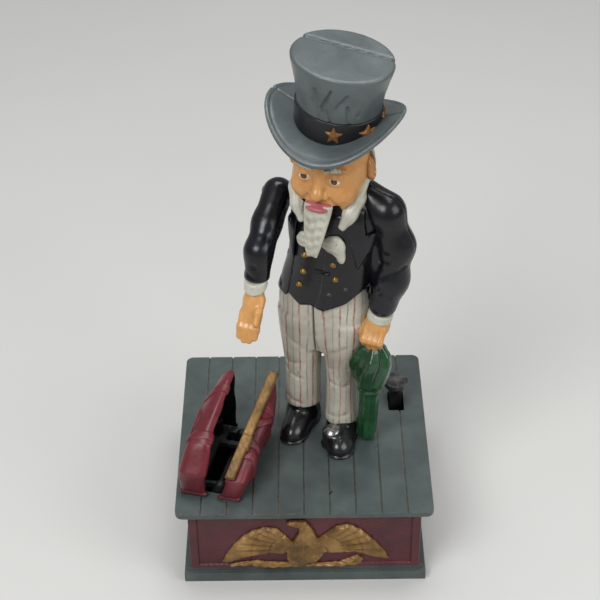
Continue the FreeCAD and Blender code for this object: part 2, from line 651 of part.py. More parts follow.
TORSO = [(0.5, -1, 110, 21.5, 11.5), (0.5, -1, 122, 24, 13.5), (0.5, -0.5, 138, 25.5, 14.5),
         (3.5, -0.5, 155, 21, 13.8), (6.2, -0.5, 172, 21.6, 13.8), (7.5, -0.5, 186, 22.6, 13.8),
         (8.5, -0.6, 197, 22, 13.4), (8, -1, 204, 15, 11)]
RIGHT_LEG = [(-10.8, -2.5, 56, 9.8, 10), (-9.8, -3, 90, 9.3, 9.8), (-10.6, -2.2, 117, 11.4, 10.6)]
LEFT_LEG = [(12.2, -3.2, 56, 8.7, 9.6), (11.5, -2.7, 90, 8.2, 9.2), (11.6, -2.2, 117, 11.2, 10.4)]
RIGHT_SHOE = [(-10.5, 3, 55.5, 7), (-10.3, -17.5, 55, 7.2)]
LEFT_SHOE = [(14.0, 3, 56, 7.4), (16.2, -18.5, 55.5, 7.6)]
UMBRELLA = [(25, -5, 50, 2.4), (25.6, -5, 82, 5), (27, -4.8, 104, 9), (29, -4, 116, 5)]
LEFT_ARM = [(33.5, -0.5, 196.5, 10), (39.4, 0.5, 178, 8), (36.5, -1, 156, 7.6), (31.5, -3, 133, 6.4),
            (30.5, -4, 123, 6.2)]
HEAD = [(0, 221, 20.2), (0, 212, 18.6)]


def ovals(rows, shrink=0.0):
    return [oval(cx, cy, z, hx - shrink, hy - shrink) for cx, cy, z, hx, hy in rows]


wall_mm = size["casting_wall"]
hat_lean = Placement(Vector(0, 0, 0), Rotation(Y_AXIS, 5.5), Vector(9, -3, 245))
hat_nod = Placement(Vector(0, 0, 0), Rotation(X_AXIS, 5.0), Vector(9, -3, 245))


def tilt_hat(shape):
    shape.Placement = hat_lean.multiply(hat_nod).multiply(shape.Placement)
    return shape


CROWN = [(9, -4, 238, 19.4, 17.6), (9, -4, 251, 19.8, 17.8), (9.4, -4, 264, 21.6, 18.4),
         (9.8, -4, 281.6, 24.8, 19.0)]


def brim():
    """An oval brim whose sides curl up."""
    low_arc = Part.Arc(Vector(-34, 0, 249), Vector(9, 0, 236.6), Vector(50, 0, 249)).toShape()
    high_arc = Part.Arc(Vector(50, 0, 252), Vector(9, 0, 239.8), Vector(-34, 0, 252)).toShape()
    ends = [Part.makeLine(Vector(50, 0, 249), Vector(50, 0, 252)),
            Part.makeLine(Vector(-34, 0, 252), Vector(-34, 0, 249))]
    sheet_face = Part.Face(Part.Wire([low_arc, ends[0], high_arc, ends[1]]))
    trough = sheet_face.extrude(Vector(0, 80, 0))
    trough.translate(Vector(0, -42, 0))
    outline = Part.Face(oval(7.6, -3, 230, 33.6, 27.6)).extrude(Vector(0, 0, 40))
    return trough.common(outline)


def limb(rows):
    """A limb from rows of x, y, z and radius, its ends rounded."""
    shapes = []
    for (x, y, z, radius), (x2, y2, z2, radius2) in zip(rows, rows[1:]):
        start = Vector(x, y, z)
        run = Vector(x2, y2, z2) - start
        if abs(radius - radius2) > 0.01:
            shapes.append(Part.makeCone(radius, radius2, run.Length, start, run))
        else:
            shapes.append(Part.makeCylinder(radius, run.Length, start, run))
    for x, y, z, radius in rows:
        shapes.append(Part.makeSphere(radius, Vector(x, y, z)))
    return shapes


torso = [skin(ovals(TORSO)),
         Part.makeBox(37, 9, 34, Vector(-20.5, 2.5, 97)),
         Part.makeSphere(4.2, Vector(head_x, -20.4, 216.5)),
         Part.makeCylinder(12.5, 20, Vector(head_x, -2, 186)),
         Part.makeSphere(6, Vector(2.5, -10, 175)),
         Part.makeSphere(7, Vector(12.5, -9.6, 174)),
         Part.makeCylinder(12.8, 14, Vector(torso_side, 0, shoulder_z), X_AXIS),
         Part.makeCylinder(5.6, 10, Vector(shoe_hole[0], shoe_hole[1], size["deck_top"]))]
torso += [Part.makeSphere(radius, Vector(head_x, -2, z)) for _, z, radius in HEAD]
torso += [skin(ovals(RIGHT_LEG)), skin(ovals(LEFT_LEG))]
for rows in (RIGHT_SHOE, LEFT_SHOE, UMBRELLA, LEFT_ARM):
    torso += limb(rows)
torso += [Part.makeCylinder(17.6, 22, Vector(head_x + 1, -2.5, 221)),
          tilt_hat(skin(ovals(CROWN))), tilt_hat(brim())]

hollow = [skin(ovals(TORSO[1:], wall_mm)),
          Part.makeBox(6.8, 14.9, 14.4, Vector(torso_side + wall_mm, -10.7, 186.5)),
          Part.makeCylinder(3.2, 80, Vector(rod_side, rod_front, 50)),
          Part.makeCylinder(2.6, 137, Vector(rod_side, rod_front, 50)),
          Part.makeCylinder(8.5, 26, Vector(head_x, -2, 184)),
          Part.makeCylinder(14.2, 24, Vector(head_x + 1, -2.5, 221)),
          tilt_hat(skin([oval(9, -4, 243, 16, 14.4)] + ovals(CROWN[1:3], wall_mm)
                        + [oval(9.8, -4, 278, 20.6, 15.4)])),
          Part.makeBox(18.6, 20, 12.6, Vector(head_x - 9.3, -27, 197.4))]
hollow += [Part.makeSphere(radius - wall_mm, Vector(head_x, -2, z)) for _, z, radius in HEAD]

CHEST_SCREW = (17.0, 165.0)
HIP_SCREW = (9.0, 127.0)
bosses = [Part.makeBox(3, 24, 14, Vector(-7, -12, shoulder_z - 7))]
for screw_x, screw_z in (CHEST_SCREW, HIP_SCREW):
    bosses.append(Part.makeCylinder(4.2, 26, Vector(screw_x, -13, screw_z), Y_AXIS))
for cheek_x in (-11.5, 16.5):
    bosses.append(Part.makeCylinder(3.4, 6, Vector(cheek_x, jaw_front, jaw_z), X_AXIS))
bores = [Part.makeCylinder(size["arm_shaft_radius"] + size["running_gap"], 14,
                           Vector(-17, 0, shoulder_z), X_AXIS),
         Part.makeCylinder(size["jaw_pin_radius"] + 0.02, 28.2, Vector(-8.6, jaw_front, jaw_z), X_AXIS),
         Part.makeCylinder(2.1, 60, Vector(shoe_hole[0], shoe_hole[1], 50))]
for screw_x, screw_z in (CHEST_SCREW, HIP_SCREW):
    bores.append(Part.makeCylinder(1.55, 30, Vector(screw_x, -9, screw_z), Y_AXIS))
    bores.append(Part.makeCylinder(3.4, 10, Vector(screw_x, 9.5, screw_z), Y_AXIS))
screw_seat = Part.makeCylinder(5.3, 5, Vector(shoe_hole[0], shoe_hole[1], 62.0))
bores.append(screw_seat)


def parted(shapes, side):
    """The bits of some shapes that lie on one side of the parting plane."""
    bits = [shape.common(side) for shape in shapes]
    return [bit for bit in bits if bit.Volume > 0.5]


def half_casting(low_y):
    """One half of the figure: parted, hollowed, given its bosses and bored."""
    side = Part.makeBox(160, 80, 300, Vector(-80, low_y, size["deck_top"]))
    bits = parted(torso, side)
    outside = bits[0].multiFuse(bits[1:], 0.001)
    shape = outside.cut(parted(hollow, side))
    for boss in parted(bosses, side):
        shape = shape.fuse(boss.common(outside))
    for bore in bores:
        shape = shape.cut(bore)
    return sorted(shape.Solids, key=lambda one: one.Volume)[-1]


keep(solid("figure_front_part", half_casting(-80), figure_place), "figure_front")
keep(solid("figure_rear_part", half_casting(0), figure_place), "figure_rear")

screws = []
for index, (screw_x, screw_z) in enumerate((CHEST_SCREW, HIP_SCREW)):
    one = fuse("figure_screw_%d" % index, [
        rod("figure_screw_shank_%d" % index, 1.5, 18, (screw_x, -8.5, screw_z), Y_AXIS),
        rod("figure_screw_head_%d" % index, 3.2, 2.2, (screw_x, 9.5, screw_z), Y_AXIS)])
    screws.append(one)
screw_group = doc.addObject("Part::Compound", "figure_screw_group")
screw_group.Links = screws
screw_group.Placement = figure_place
keep(screw_group, "figure_screws")

shoe_screw = fuse("shoe_screw_part", [
    rod("shoe_screw_shank", 2.0, 17, (shoe_hole[0], shoe_hole[1], 45.2)),
    solid("shoe_screw_head", Part.makeSphere(6.2, Vector(shoe_hole[0], shoe_hole[1], 58.3)).common(
        Part.makeCylinder(5.0, 4, Vector(shoe_hole[0], shoe_hole[1], 62.0))))])
shoe_screw.Placement = figure_place
keep(shoe_screw, "shoe_screw")
nut = cut("shoe_nut_part", solid("shoe_nut_blank", Part.Face(Part.makePolygon(
    [Vector(shoe_hole[0] + 4.2 * math.cos(math.radians(60 * step)),
            shoe_hole[1] + 4.2 * math.sin(math.radians(60 * step)), deck_bottom - 3.2)
     for step in range(7)])).extrude(Vector(0, 0, 3.2))),
    [rod("shoe_nut_bore", 2.05, 8, (shoe_hole[0], shoe_hole[1], 44))])
nut.Placement = figure_place
keep(nut, "shoe_nut")

# ---- Right arm --------------------------------------------------------------

arm_x = -24.2
arm_solid = union(limb([(arm_x, 0, shoulder_z, 8.8), (arm_x, -15, 184, 7.4), (arm_x, -26, 174.5, 7.0),
                        (arm_x, -30, 155, 6.6)])
                  + [ellipsoid((arm_x, -35.5, 149), (5.6, 6.2, 7.6)),
                     ellipsoid((arm_x + 1.5, -41.5, 140), (3.2, 3.6, 9.5))])
arm_solid = arm_solid.common(Part.makeBox(30, 90, 120, Vector(arm_side - 30, -60, 110)))
arm_solid = arm_solid.cut(Part.makeCylinder(2.01, 20, Vector(-31.4, 0, shoulder_z), X_AXIS))
keep(solid("right_arm_part", arm_solid, figure_place), "right_arm")

# ---- Bag --------------------------------------------------------------------

bag_low = size["deck_top"]
half_run = size["bag_length"] / 2
bag_side = Part.makePolygon([
    Vector(-30, -half_run, 0), Vector(-30, half_run, 0), Vector(-30, half_run + 2, 20),
    Vector(-30, half_run + 1.5, 40), Vector(-30, 20, 40), Vector(-30, -19, 29),
    Vector(-30, -half_run, 16), Vector(-30, -half_run, 0)])
side_view = Part.Face(bag_side).extrude(Vector(70, 0, 0))


def bag_end(points):
    """A full-length prism from an end view of x and height above the deck."""
    line = Part.makePolygon([Vector(x, -60, height) for x, height in points + points[:1]])
    return Part.Face(line).extrude(Vector(0, 120, 0))


def smaller(shape, amount):
    """The side view drawn in by an amount, for the hollow of a bag half."""
    run = half_run - amount
    line = Part.makePolygon([
        Vector(-30, -run, -1), Vector(-30, run, -1), Vector(-30, run + 2, 20),
        Vector(-30, run + 1.5, 40 - amount), Vector(-30, 20, 40 - amount),
        Vector(-30, -19 + amount * 0.4, 29 - amount), Vector(-30, -run, 16 - amount),
        Vector(-30, -run, -1)])
    return shape.common(Part.Face(line).extrude(Vector(70, 0, 0)))


fixed_end = [(0, 0), (0, 41), (-5.5, 41), (-12.5, 28), (-17, 10), (-15.5, 0)]
fixed_hollow = [(1, -1), (1, 38), (-3.2, 37.4), (-9.8, 26), (-14.2, 10), (-12.8, -1)]
fixed_half = bag_end(fixed_end).common(side_view).cut(smaller(bag_end(fixed_hollow), 2.6))
for bx, by in screw_places:
    fixed_half = fixed_half.fuse(Part.makeCylinder(3.6, 10, Vector(bx, by, 0)))
fixed_half = fixed_half.common(side_view)
for bx, by in screw_places:
    fixed_half = fixed_half.cut(Part.makeCylinder(1.55, 8, Vector(bx, by, -1)))
bag_on_deck = bag_place.multiply(Placement(Vector(0, 0, bag_low), Rotation()))
keep(solid("bag_fixed_part", fixed_half, bag_on_deck), "bag_fixed_half")

# The moving half is drawn open, with its foot flat on the deck.
hinge_drop = bag_low - bag_hinge_z
open_turn = math.radians(size["bag_swing"])


def opened(x, height):
    """Where a point of the shut half goes when the bag opens."""
    rise = height + hinge_drop
    return (x * math.cos(open_turn) + rise * math.sin(open_turn),
            rise * math.cos(open_turn) - x * math.sin(open_turn) - hinge_drop)


low_in = opened(0.4, 0.0)
top_in = opened(0.4, 41.0)
inner_foot = (low_in[0] + (0.3 - low_in[1]) * math.tan(open_turn), 0.3)
moving_end = [inner_foot, top_in, (top_in[0] + 5.6, top_in[1] - 2.0), (22.5, 26), (19.4, 9),
              (16.0, 0.3)]
moving_hollow = [(inner_foot[0] - 3, -1), (top_in[0] - 2.4, top_in[1] - 2), (top_in[0] + 3.0, top_in[1] - 4.4),
                 (19.6, 25), (16.6, 9), (13.4, -1)]
moving_half = bag_end(moving_end).common(side_view).cut(smaller(bag_end(moving_hollow), 2.6))
frame_line = [(top_in[0] - 0.1, top_in[1] + 0.1), (top_in[0] + 5.8, top_in[1] - 1.9)]
for side in (-1, 1):
    ear = Part.makeBox(6.0, 5, 1 + hinge_drop + 3, Vector(-3.0, side * bag_ear_y - 2.5, -hinge_drop))
    ear = ear.fuse(Part.makeCylinder(3.0, 5, Vector(0, side * bag_ear_y - 2.5, -hinge_drop), Y_AXIS))
    ear.rotate(Vector(0, 0, -hinge_drop), Y_AXIS, size["bag_swing"])
    ear = ear.common(Part.makeBox(60, 90, 30, Vector(-30, -45, -20)))
    rib = bag_end(moving_end).common(
        Part.makeBox(40, 5, 9, Vector(-5, side * bag_ear_y - 2.5, 0)))
    moving_half = moving_half.fuse(ear).fuse(rib)
tail_angle = math.degrees(half_bag_swing)
tail = Part.makeBox(tail_length, 7, 2.8, Vector(0, bag_ear_y - 4, -1.4))
tail = tail.fuse(Part.makeCylinder(2.5, 7, Vector(tail_length, bag_ear_y - 4, 0), Y_AXIS))
tail.rotate(Vector(0, 0, 0), Y_AXIS, tail_angle)
tail.translate(Vector(0, 0, -hinge_drop))
moving_half = moving_half.fuse(tail)
moving_half = moving_half.cut(Part.makeCylinder(1.55, 60, Vector(0, -30, -hinge_drop), Y_AXIS))
keep(solid("bag_moving_part", moving_half, bag_on_deck), "bag_moving_half")

keep(rod("bag_hinge_pin_part", 1.5, 54, from_bag(0, -27, bag_hinge_z), bag_axis), "bag_hinge_pin")
bag_screws = []
for index, (bx, by) in enumerate(screw_places):
    bag_screws.append(fuse("bag_screw_%d" % index, [
        rod("bag_screw_shank_%d" % index, 1.5, 10.2, from_bag(bx, by, deck_bottom - 1)),
        rod("bag_screw_head_%d" % index, 3.0, 1.8, from_bag(bx, by, deck_bottom - 1.8))]))
bag_screw_group = doc.addObject("Part::Compound", "bag_screw_group")
bag_screw_group.Links = bag_screws
keep(bag_screw_group, "bag_screws")

# ---- Check and export -------------------------------------------------------

doc.recompute()
for item in doc.Objects:
    if "Invalid" in item.State or "Error" in item.State:
        raise RuntimeError("object not computed: " + item.Name)
os.makedirs("parts", exist_ok=True)
for item in exported:
    shape = item.Shape
    if shape.isNull() or not shape.isValid():
        raise RuntimeError("bad shape: " + item.Label)
    shape.exportStep(os.path.join("parts", item.Label + ".step"))
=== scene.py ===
"""Looks of the mechanical bank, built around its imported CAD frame. Working units are millimetres."""

import json
import math

import bpy
import numpy as np
from mathutils import Matrix, Vector


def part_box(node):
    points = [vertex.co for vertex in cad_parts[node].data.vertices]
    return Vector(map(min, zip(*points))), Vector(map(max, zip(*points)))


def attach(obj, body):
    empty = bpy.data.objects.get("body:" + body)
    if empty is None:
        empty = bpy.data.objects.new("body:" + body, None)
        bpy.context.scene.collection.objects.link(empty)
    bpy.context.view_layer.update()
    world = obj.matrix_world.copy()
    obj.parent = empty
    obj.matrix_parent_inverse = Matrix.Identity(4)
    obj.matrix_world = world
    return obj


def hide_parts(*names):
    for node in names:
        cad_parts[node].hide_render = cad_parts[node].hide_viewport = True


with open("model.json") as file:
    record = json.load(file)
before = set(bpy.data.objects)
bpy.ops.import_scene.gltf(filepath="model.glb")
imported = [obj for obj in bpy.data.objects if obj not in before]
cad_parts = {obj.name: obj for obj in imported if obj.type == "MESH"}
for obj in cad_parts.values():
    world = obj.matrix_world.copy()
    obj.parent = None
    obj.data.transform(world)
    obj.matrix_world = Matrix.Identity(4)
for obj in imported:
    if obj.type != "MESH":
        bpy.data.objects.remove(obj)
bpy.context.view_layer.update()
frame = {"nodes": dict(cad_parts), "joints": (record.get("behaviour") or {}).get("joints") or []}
nodes = frame["nodes"]
joints = {j["name"]: j for j in frame["joints"]}


# ---------------------------------------------------------------- where things stand

def low(node):
    return np.array(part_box(node)[0]) * 1000


def high(node):
    return np.array(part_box(node)[1]) * 1000


SHOULDER_OUT = 24.2
arm_axis = np.array(joints["arm_swing"]["axis"][:2])
LEFT = -arm_axis
BACK = np.array([-LEFT[1], LEFT[0]])
HEART = np.array(joints["arm_swing"]["pos_m"][:2]) * 1000 + SHOULDER_OUT * LEFT
bag_axis = np.array(joints["bag_shut"]["axis"][:2])
BAG_BACK = -bag_axis
BAG_SIDE = np.array([BAG_BACK[1], -BAG_BACK[0]])
BAG_PIN = np.array(joints["bag_shut"]["pos_m"]) * 1000
DECK = high("deck")[2]


def figure_place(p):
    """Figure millimetres (his left, back, up) to metres in the row frame."""
    flat = HEART + p[:, :1] * LEFT + p[:, 1:2] * BACK
    return np.column_stack([flat, p[:, 2]]) / 1000


def bag_place(p):
    """Bag millimetres (towards the moving half, back, up from the deck) to metres in the row frame."""
    flat = BAG_PIN[:2] + p[:, :1] * BAG_SIDE + p[:, 1:2] * BAG_BACK
    return np.column_stack([flat, p[:, 2] + DECK]) / 1000


def row_place(p):
    return p / 1000


# ---------------------------------------------------------------- distance fields

def smin(a, b, k):
    h = np.maximum(k - np.abs(a - b), 0) / k
    return np.minimum(a, b) - h * h * k / 4


def smax(a, b, k):
    return -smin(-a, -b, k)


def ball(x, y, z, c, r):
    return np.sqrt((x - c[0]) ** 2 + (y - c[1]) ** 2 + (z - c[2]) ** 2) - r


def spun(x, y, z, c, turn):
    """Coordinates about c in a frame turned by three angles in degrees."""
    m = np.eye(3)
    for axis, angle in enumerate(turn):
        if angle:
            m = m @ np.array(Matrix.Rotation(math.radians(angle), 3, "XYZ"[axis]))
    dx, dy, dz = x - c[0], y - c[1], z - c[2]
    return [m[0, i] * dx + m[1, i] * dy + m[2, i] * dz for i in range(3)]


def egg(x, y, z, c, r, turn=(0, 0, 0)):
    u, v, w = spun(x, y, z, c, turn)
    k0 = np.sqrt((u / r[0]) ** 2 + (v / r[1]) ** 2 + (w / r[2]) ** 2) + 1e-6
    k1 = np.sqrt((u / r[0] ** 2) ** 2 + (v / r[1] ** 2) ** 2 + (w / r[2] ** 2) ** 2) + 1e-6
    return k0 * (k0 - 1) / k1


def brick(x, y, z, c, half, r, turn=(0, 0, 0)):
    u, v, w = spun(x, y, z, c, turn)
    qx, qy, qz = np.abs(u) - half[0] + r, np.abs(v) - half[1] + r, np.abs(w) - half[2] + r
    out = np.sqrt(np.maximum(qx, 0) ** 2 + np.maximum(qy, 0) ** 2 + np.maximum(qz, 0) ** 2)
    return out + np.minimum(np.maximum(qx, np.maximum(qy, qz)), 0) - r


def limb(x, y, z, a, b, ra, rb):
    d = [b[i] - a[i] for i in range(3)]
    n = d[0] ** 2 + d[1] ** 2 + d[2] ** 2
    h = np.clip(((x - a[0]) * d[0] + (y - a[1]) * d[1] + (z - a[2]) * d[2]) / n, 0, 1)
    out = np.sqrt((x - a[0] - h * d[0]) ** 2 + (y - a[1] - h * d[1]) ** 2 + (z - a[2] - h * d[2]) ** 2)
    return out - ra - (rb - ra) * h


def chain(x, y, z, points, k):
    """A run of limbs through points (x, y, z, radius)."""
    d = None
    for a, b in zip(points[:-1], points[1:]):
        one = limb(x, y, z, a[:3], b[:3], a[3], b[3])
        d = one if d is None else smin(d, one, k)
    return d


def stack(x, y, z, rows, soft=3.0, cap=2.0):
    """Ovals stacked on z: rows are (z, centre x, half width, front, back)."""
    rows = np.array(rows, float)
    fine = np.linspace(rows[0, 0], rows[-1, 0], 160)
    wide = max(1, int(soft / (fine[1] - fine[0])))
    kernel = np.ones(2 * wide + 1) / (2 * wide + 1)
    at = []
    for column in range(1, 5):
        line = np.interp(fine, rows[:, 0], rows[:, column])
        line = np.convolve(np.pad(line, wide, "edge"), kernel, "valid")
        at.append(np.interp(z, fine, line))
    cx, hx, front, back = at
    cy, hy = (back - front) / 2, (back + front) / 2
    u, v = (x - cx) / hx, (y - cy) / hy
    k0 = np.sqrt(u * u + v * v) + 1e-6
    k1 = np.sqrt((u / hx) ** 2 + (v / hy) ** 2) + 1e-6
    d = k0 * (k0 - 1) / k1
    return smax(d, np.maximum(rows[0, 0] - z, z - rows[-1, 0]), cap)


def outline(u, v, points):
    """Signed distance to a closed polygon, negative inside."""
    pts = np.array(points, float)
    best = None
    sign = 1.0
    for i in range(len(pts)):
        a, b = pts[i], pts[i - 1]
        ex, ey = b - a
        wx, wy = u - a[0], v - a[1]
        t = np.clip((wx * ex + wy * ey) / (ex * ex + ey * ey), 0, 1)
        d = (wx - ex * t) ** 2 + (wy - ey * t) ** 2
        best = d if best is None else np.minimum(best, d)
        c1, c2, c3 = v >= a[1], v < b[1], ex * wy > ey * wx
        sign = sign * np.where((c1 & c2 & c3) | (~c1 & ~c2 & ~c3), -1.0, 1.0)
    return sign * np.sqrt(best)


def parting(d, y, deep=0.5, wide=0.5):
    """The line where two castings meet."""
    return d + deep * np.exp(-((y / wide) ** 2))


# ---------------------------------------------------------------- meshes

LOCAL = {}


def to_object(name, points, faces, place):
    mesh = bpy.data.meshes.new(name)
    LOCAL[name] = points[faces].mean(axis=1)
    world = place(points)
    mesh.vertices.add(len(world))
    mesh.vertices.foreach_set("co", world.astype(np.float32).ravel())
    mesh.loops.add(faces.size)
    mesh.loops.foreach_set("vertex_index", faces.astype(np.int32).ravel())
    mesh.polygons.add(len(faces))
    mesh.polygons.foreach_set("loop_start", np.arange(0, faces.size, 4, dtype=np.int32))
    mesh.update(calc_edges=True)
    mesh.shade_smooth()
    obj = bpy.data.objects.new(name, mesh)
    bpy.context.scene.collection.objects.link(obj)
    return obj


def skin_of(name, field, lo, hi, step, place=figure_place):
    """A closed quad mesh on the zero surface of a distance field."""
    axes = [np.arange(lo[i], hi[i] + step, step, dtype=np.float32) for i in range(3)]
    shape = tuple(len(a) for a in axes)
    x, y, z = axes[0][:, None, None], axes[1][None, :, None], axes[2][None, None, :]
    d = np.array(np.broadcast_to(field(x, y, z), shape), dtype=np.float32)
    for axis in range(3):
        for end in (0, -1):
            edge = [slice(None)] * 3
            edge[axis] = end
            d[tuple(edge)] = np.maximum(d[tuple(edge)], step * 0.4)
    inside = d < 0
    cells, spots, flips = [], [], []
    for axis in range(3):
        near = [slice(None)] * 3
        far = [slice(None)] * 3
        near[axis], far[axis] = slice(0, -1), slice(1, None)
        near, far = tuple(near), tuple(far)
        at = np.argwhere(inside[near] != inside[far])
        a = d[near][tuple(at.T)]
        b = d[far][tuple(at.T)]
        spot = at.astype(np.float64)
        spot[:, axis] += a / (a - b)
        u, v = (axis + 1) % 3, (axis + 2) % 3
        ring = []
        for du, dv in ((-1, -1), (0, -1), (0, 0), (-1, 0)):
            cell = at.copy()
            cell[:, u] += du
            cell[:, v] += dv
            ring.append(np.ravel_multi_index(tuple(cell.T), shape))
        cells.append(np.array(ring))
        spots.append(spot)
        flips.append(a > 0)
    ring = np.concatenate(cells, axis=1)
    spot = np.concatenate(spots)
    flip = np.concatenate(flips)
    ids, index = np.unique(ring.ravel(), return_inverse=True)
    index = index.reshape(ring.shape)
    many = np.bincount(index.ravel(), minlength=len(ids))
    points = np.empty((len(ids), 3))
    for axis in range(3):
        weight = np.tile(spot[:, axis], 4)
        points[:, axis] = np.bincount(index.ravel(), weights=weight, minlength=len(ids)) / many
    points = points * step + np.array([a[0] for a in axes], float)
    faces = index.T.copy()
    faces[flip] = faces[flip][:, ::-1]
    return to_object(name, points, faces, place)


# ---------------------------------------------------------------- finishes

def srgb(r, g, b):
    out = []
    for c in (r, g, b):
        c = c / 255
        out.append(c / 12.92 if c <= 0.04045 else ((c + 0.055) / 1.055) ** 2.4)
    return (*out, 1.0)


class Nodes:
    """Short hand for wiring one material."""

    def __init__(self, name):
        self.material = bpy.data.materials.new(name)
        self.material.use_nodes = True
        self.tree = self.material.node_tree
        self.tree.nodes.clear()
        self.shader = self.add("ShaderNodeBsdfPrincipled")
        out = self.add("ShaderNodeOutputMaterial")
        self.tree.links.new(self.shader.outputs["BSDF"], out.inputs["Surface"])
        self.where = self.add("ShaderNodeTexCoord").outputs["Object"]
        self.geometry = self.add("ShaderNodeNewGeometry")

    def add(self, kind, **values):
        node = self.tree.nodes.new(kind)
        for key, value in values.items():
            setattr(node, key, value)
        return node

    def link(self, a, b):
        self.tree.links.new(a, b)

    def noise(self, scale, detail=5.0, rough=0.55, bend=0.0, vector=None):
        node = self.add("ShaderNodeTexNoise")
        node.inputs["Scale"].default_value = scale
        node.inputs["Detail"].default_value = detail
        node.inputs["Roughness"].default_value = rough
        node.inputs["Distortion"].default_value = bend
        self.link(vector or self.where, node.inputs["Vector"])
        return node.outputs["Fac"]

    def ramp(self, source, stops):
        node = self.add("ShaderNodeValToRGB")
        band = node.color_ramp.elements
        while len(band) < len(stops):
            band.new(0.5)
        for element, (spot, colour) in zip(band, stops):
            element.position = spot
            element.color = colour if len(colour) == 4 else (*colour, 1)
        self.link(source, node.inputs["Fac"])
        return node.outputs["Color"]

    def step(self, source, a, b):
        """0 below a, 1 above b."""
        node = self.add("ShaderNodeMapRange", clamp=True)
        node.inputs["From Min"].default_value = a
        node.inputs["From Max"].default_value = b
        self.link(source, node.inputs["Value"])
        return node.outputs["Result"]

    def span(self, source, a, b, low_value, high_value):
        node = self.add("ShaderNodeMapRange", clamp=True)
        node.inputs["From Min"].default_value = a
        node.inputs["From Max"].default_value = b
        node.inputs["To Min"].default_value = low_value
        node.inputs["To Max"].default_value = high_value
        self.link(source, node.inputs["Value"])
        return node.outputs["Result"]

    def sum(self, kind, a, b=None, c=None):
        node = self.add("ShaderNodeMath", operation=kind)
        for i, value in enumerate((a, b, c)):
            if value is None:
                continue
            if isinstance(value, (int, float)):
                node.inputs[i].default_value = value
            else:
                self.link(value, node.inputs[i])
        return node.outputs[0]

    def mix(self, share, a, b, kind="MIX"):
        node = self.add("ShaderNodeMix", data_type="RGBA", blend_type=kind)
        if isinstance(share, (int, float)):
            node.inputs["Factor"].default_value = share
        else:
            self.link(share, node.inputs["Factor"])
        for socket, value in (("A", a), ("B", b)):
            pin = [s for s in node.inputs if s.name == socket and s.type == "RGBA"][0]
            if isinstance(value, tuple):
                pin.default_value = value
            else:
                self.link(value, pin)
        return [s for s in node.outputs if s.type == "RGBA"][0]

    def corner(self, radius):
        """1 along sharp edges: where a rounded normal leaves the true one."""
        soft = self.add("ShaderNodeBevel", samples=4)
        soft.inputs["Radius"].default_value = radius
        dot = self.add("ShaderNodeVectorMath", operation="DOT_PRODUCT")
        self.link(soft.outputs["Normal"], dot.inputs[0])
        self.link(self.geometry.outputs["True Normal"], dot.inputs[1])
        return self.step(dot.outputs["Value"], 0.985, 0.93)

    def bump(self, height, strength, distance):
        node = self.add("ShaderNodeBump")
        node.inputs["Strength"].default_value = strength
        node.inputs["Distance"].default_value = distance
        self.link(height, node.inputs["Height"])
        self.link(node.outputs["Normal"], self.shader.inputs["Normal"])


def finish(name, dark, mid, light, worn, rough=(0.28, 0.5), chips=0.66, edge=(0.53, 0.6), metal=0.0,
           worn_metal=0.6, worn_rough=0.42, coat=0.0, grain=0.35, overlay=None, patch=42.0, crisp=0.0,
           shine_level=0.5):
    """Old paint over iron: uneven tone, soiling and painted shade in hollows, rubbed edges, chips and a fine
    orange peel.
    """
    n = Nodes(name)
    colour = n.ramp(n.noise(patch, 7.0, 0.6, 0.3), [(0.3, dark), (0.5, mid), (0.72, light)])
    if overlay:
        colour = overlay(n, colour)
    speck = n.noise(900.0, 3.0, 0.6)
    colour = n.mix(n.span(speck, 0.4, 0.75, 0.0, 0.28), colour, dark)
    # Dark colour used for random soiling, and in concave hollows also as painted shade.
    dirt_and_shade = tuple(c * 0.35 for c in dark[:3]) + (1,)
    if crisp:
        rub = n.corner(crisp)
        grime_and_shade = n.step(n.noise(24.0, 7.0, 0.6), 0.56, 0.74)
        colour = n.mix(n.sum("MULTIPLY", grime_and_shade, 0.3), colour, dirt_and_shade)
    else:
        # Painted shade: concave hollows found by pointiness are darkened, made patchy with noise, standing in
        # for the shade that falls there as well as for dirt.
        hollow = n.step(n.geometry.outputs["Pointiness"], 0.5, 0.44)
        grime_and_shade = n.sum("MULTIPLY", hollow, n.step(n.noise(130.0, 6.0), 0.35, 0.6))
        colour = n.mix(n.sum("MULTIPLY", grime_and_shade, 0.75), colour, dirt_and_shade)
        rub = n.step(n.geometry.outputs["Pointiness"], edge[0], edge[1])
    rub = n.sum("MULTIPLY", rub, n.step(n.noise(190.0, 8.0, 0.65), 0.42, 0.58))
    chip = n.step(n.noise(120.0, 9.0, 0.68, 0.5), chips, chips + 0.025)
    bare = n.sum("MAXIMUM", rub, chip)
    tint = n.ramp(n.noise(420.0, 5.0), [(0.35, tuple(c * 0.55 for c in worn[:3])), (0.65, worn)])
    n.link(n.mix(bare, colour, tint), n.shader.inputs["Base Color"])
    gloss = n.span(n.noise(75.0, 6.0, 0.6), 0.35, 0.7, rough[0], rough[1])
    shine = n.add("ShaderNodeMix", data_type="FLOAT")
    n.link(bare, shine.inputs[0])
    n.link(gloss, shine.inputs[2])
    shine.inputs[3].default_value = worn_rough
    n.link(shine.outputs[0], n.shader.inputs["Roughness"])
    if metal > 0:
        n.shader.inputs["Metallic"].default_value = metal
    else:
        n.link(n.sum("MULTIPLY", bare, worn_metal), n.shader.inputs["Metallic"])
    n.shader.inputs["Coat Weight"].default_value = coat
    n.shader.inputs["Specular IOR Level"].default_value = shine_level
    n.shader.inputs["Coat Roughness"].default_value = 0.12
    relief = n.sum("MULTIPLY_ADD", n.noise(260.0, 4.0), 0.8, n.sum("MULTIPLY", speck, 0.25))
    n.bump(n.sum("SUBTRACT", relief, n.sum("MULTIPLY", bare, 0.5)), grain, 0.0005)
    return n.material


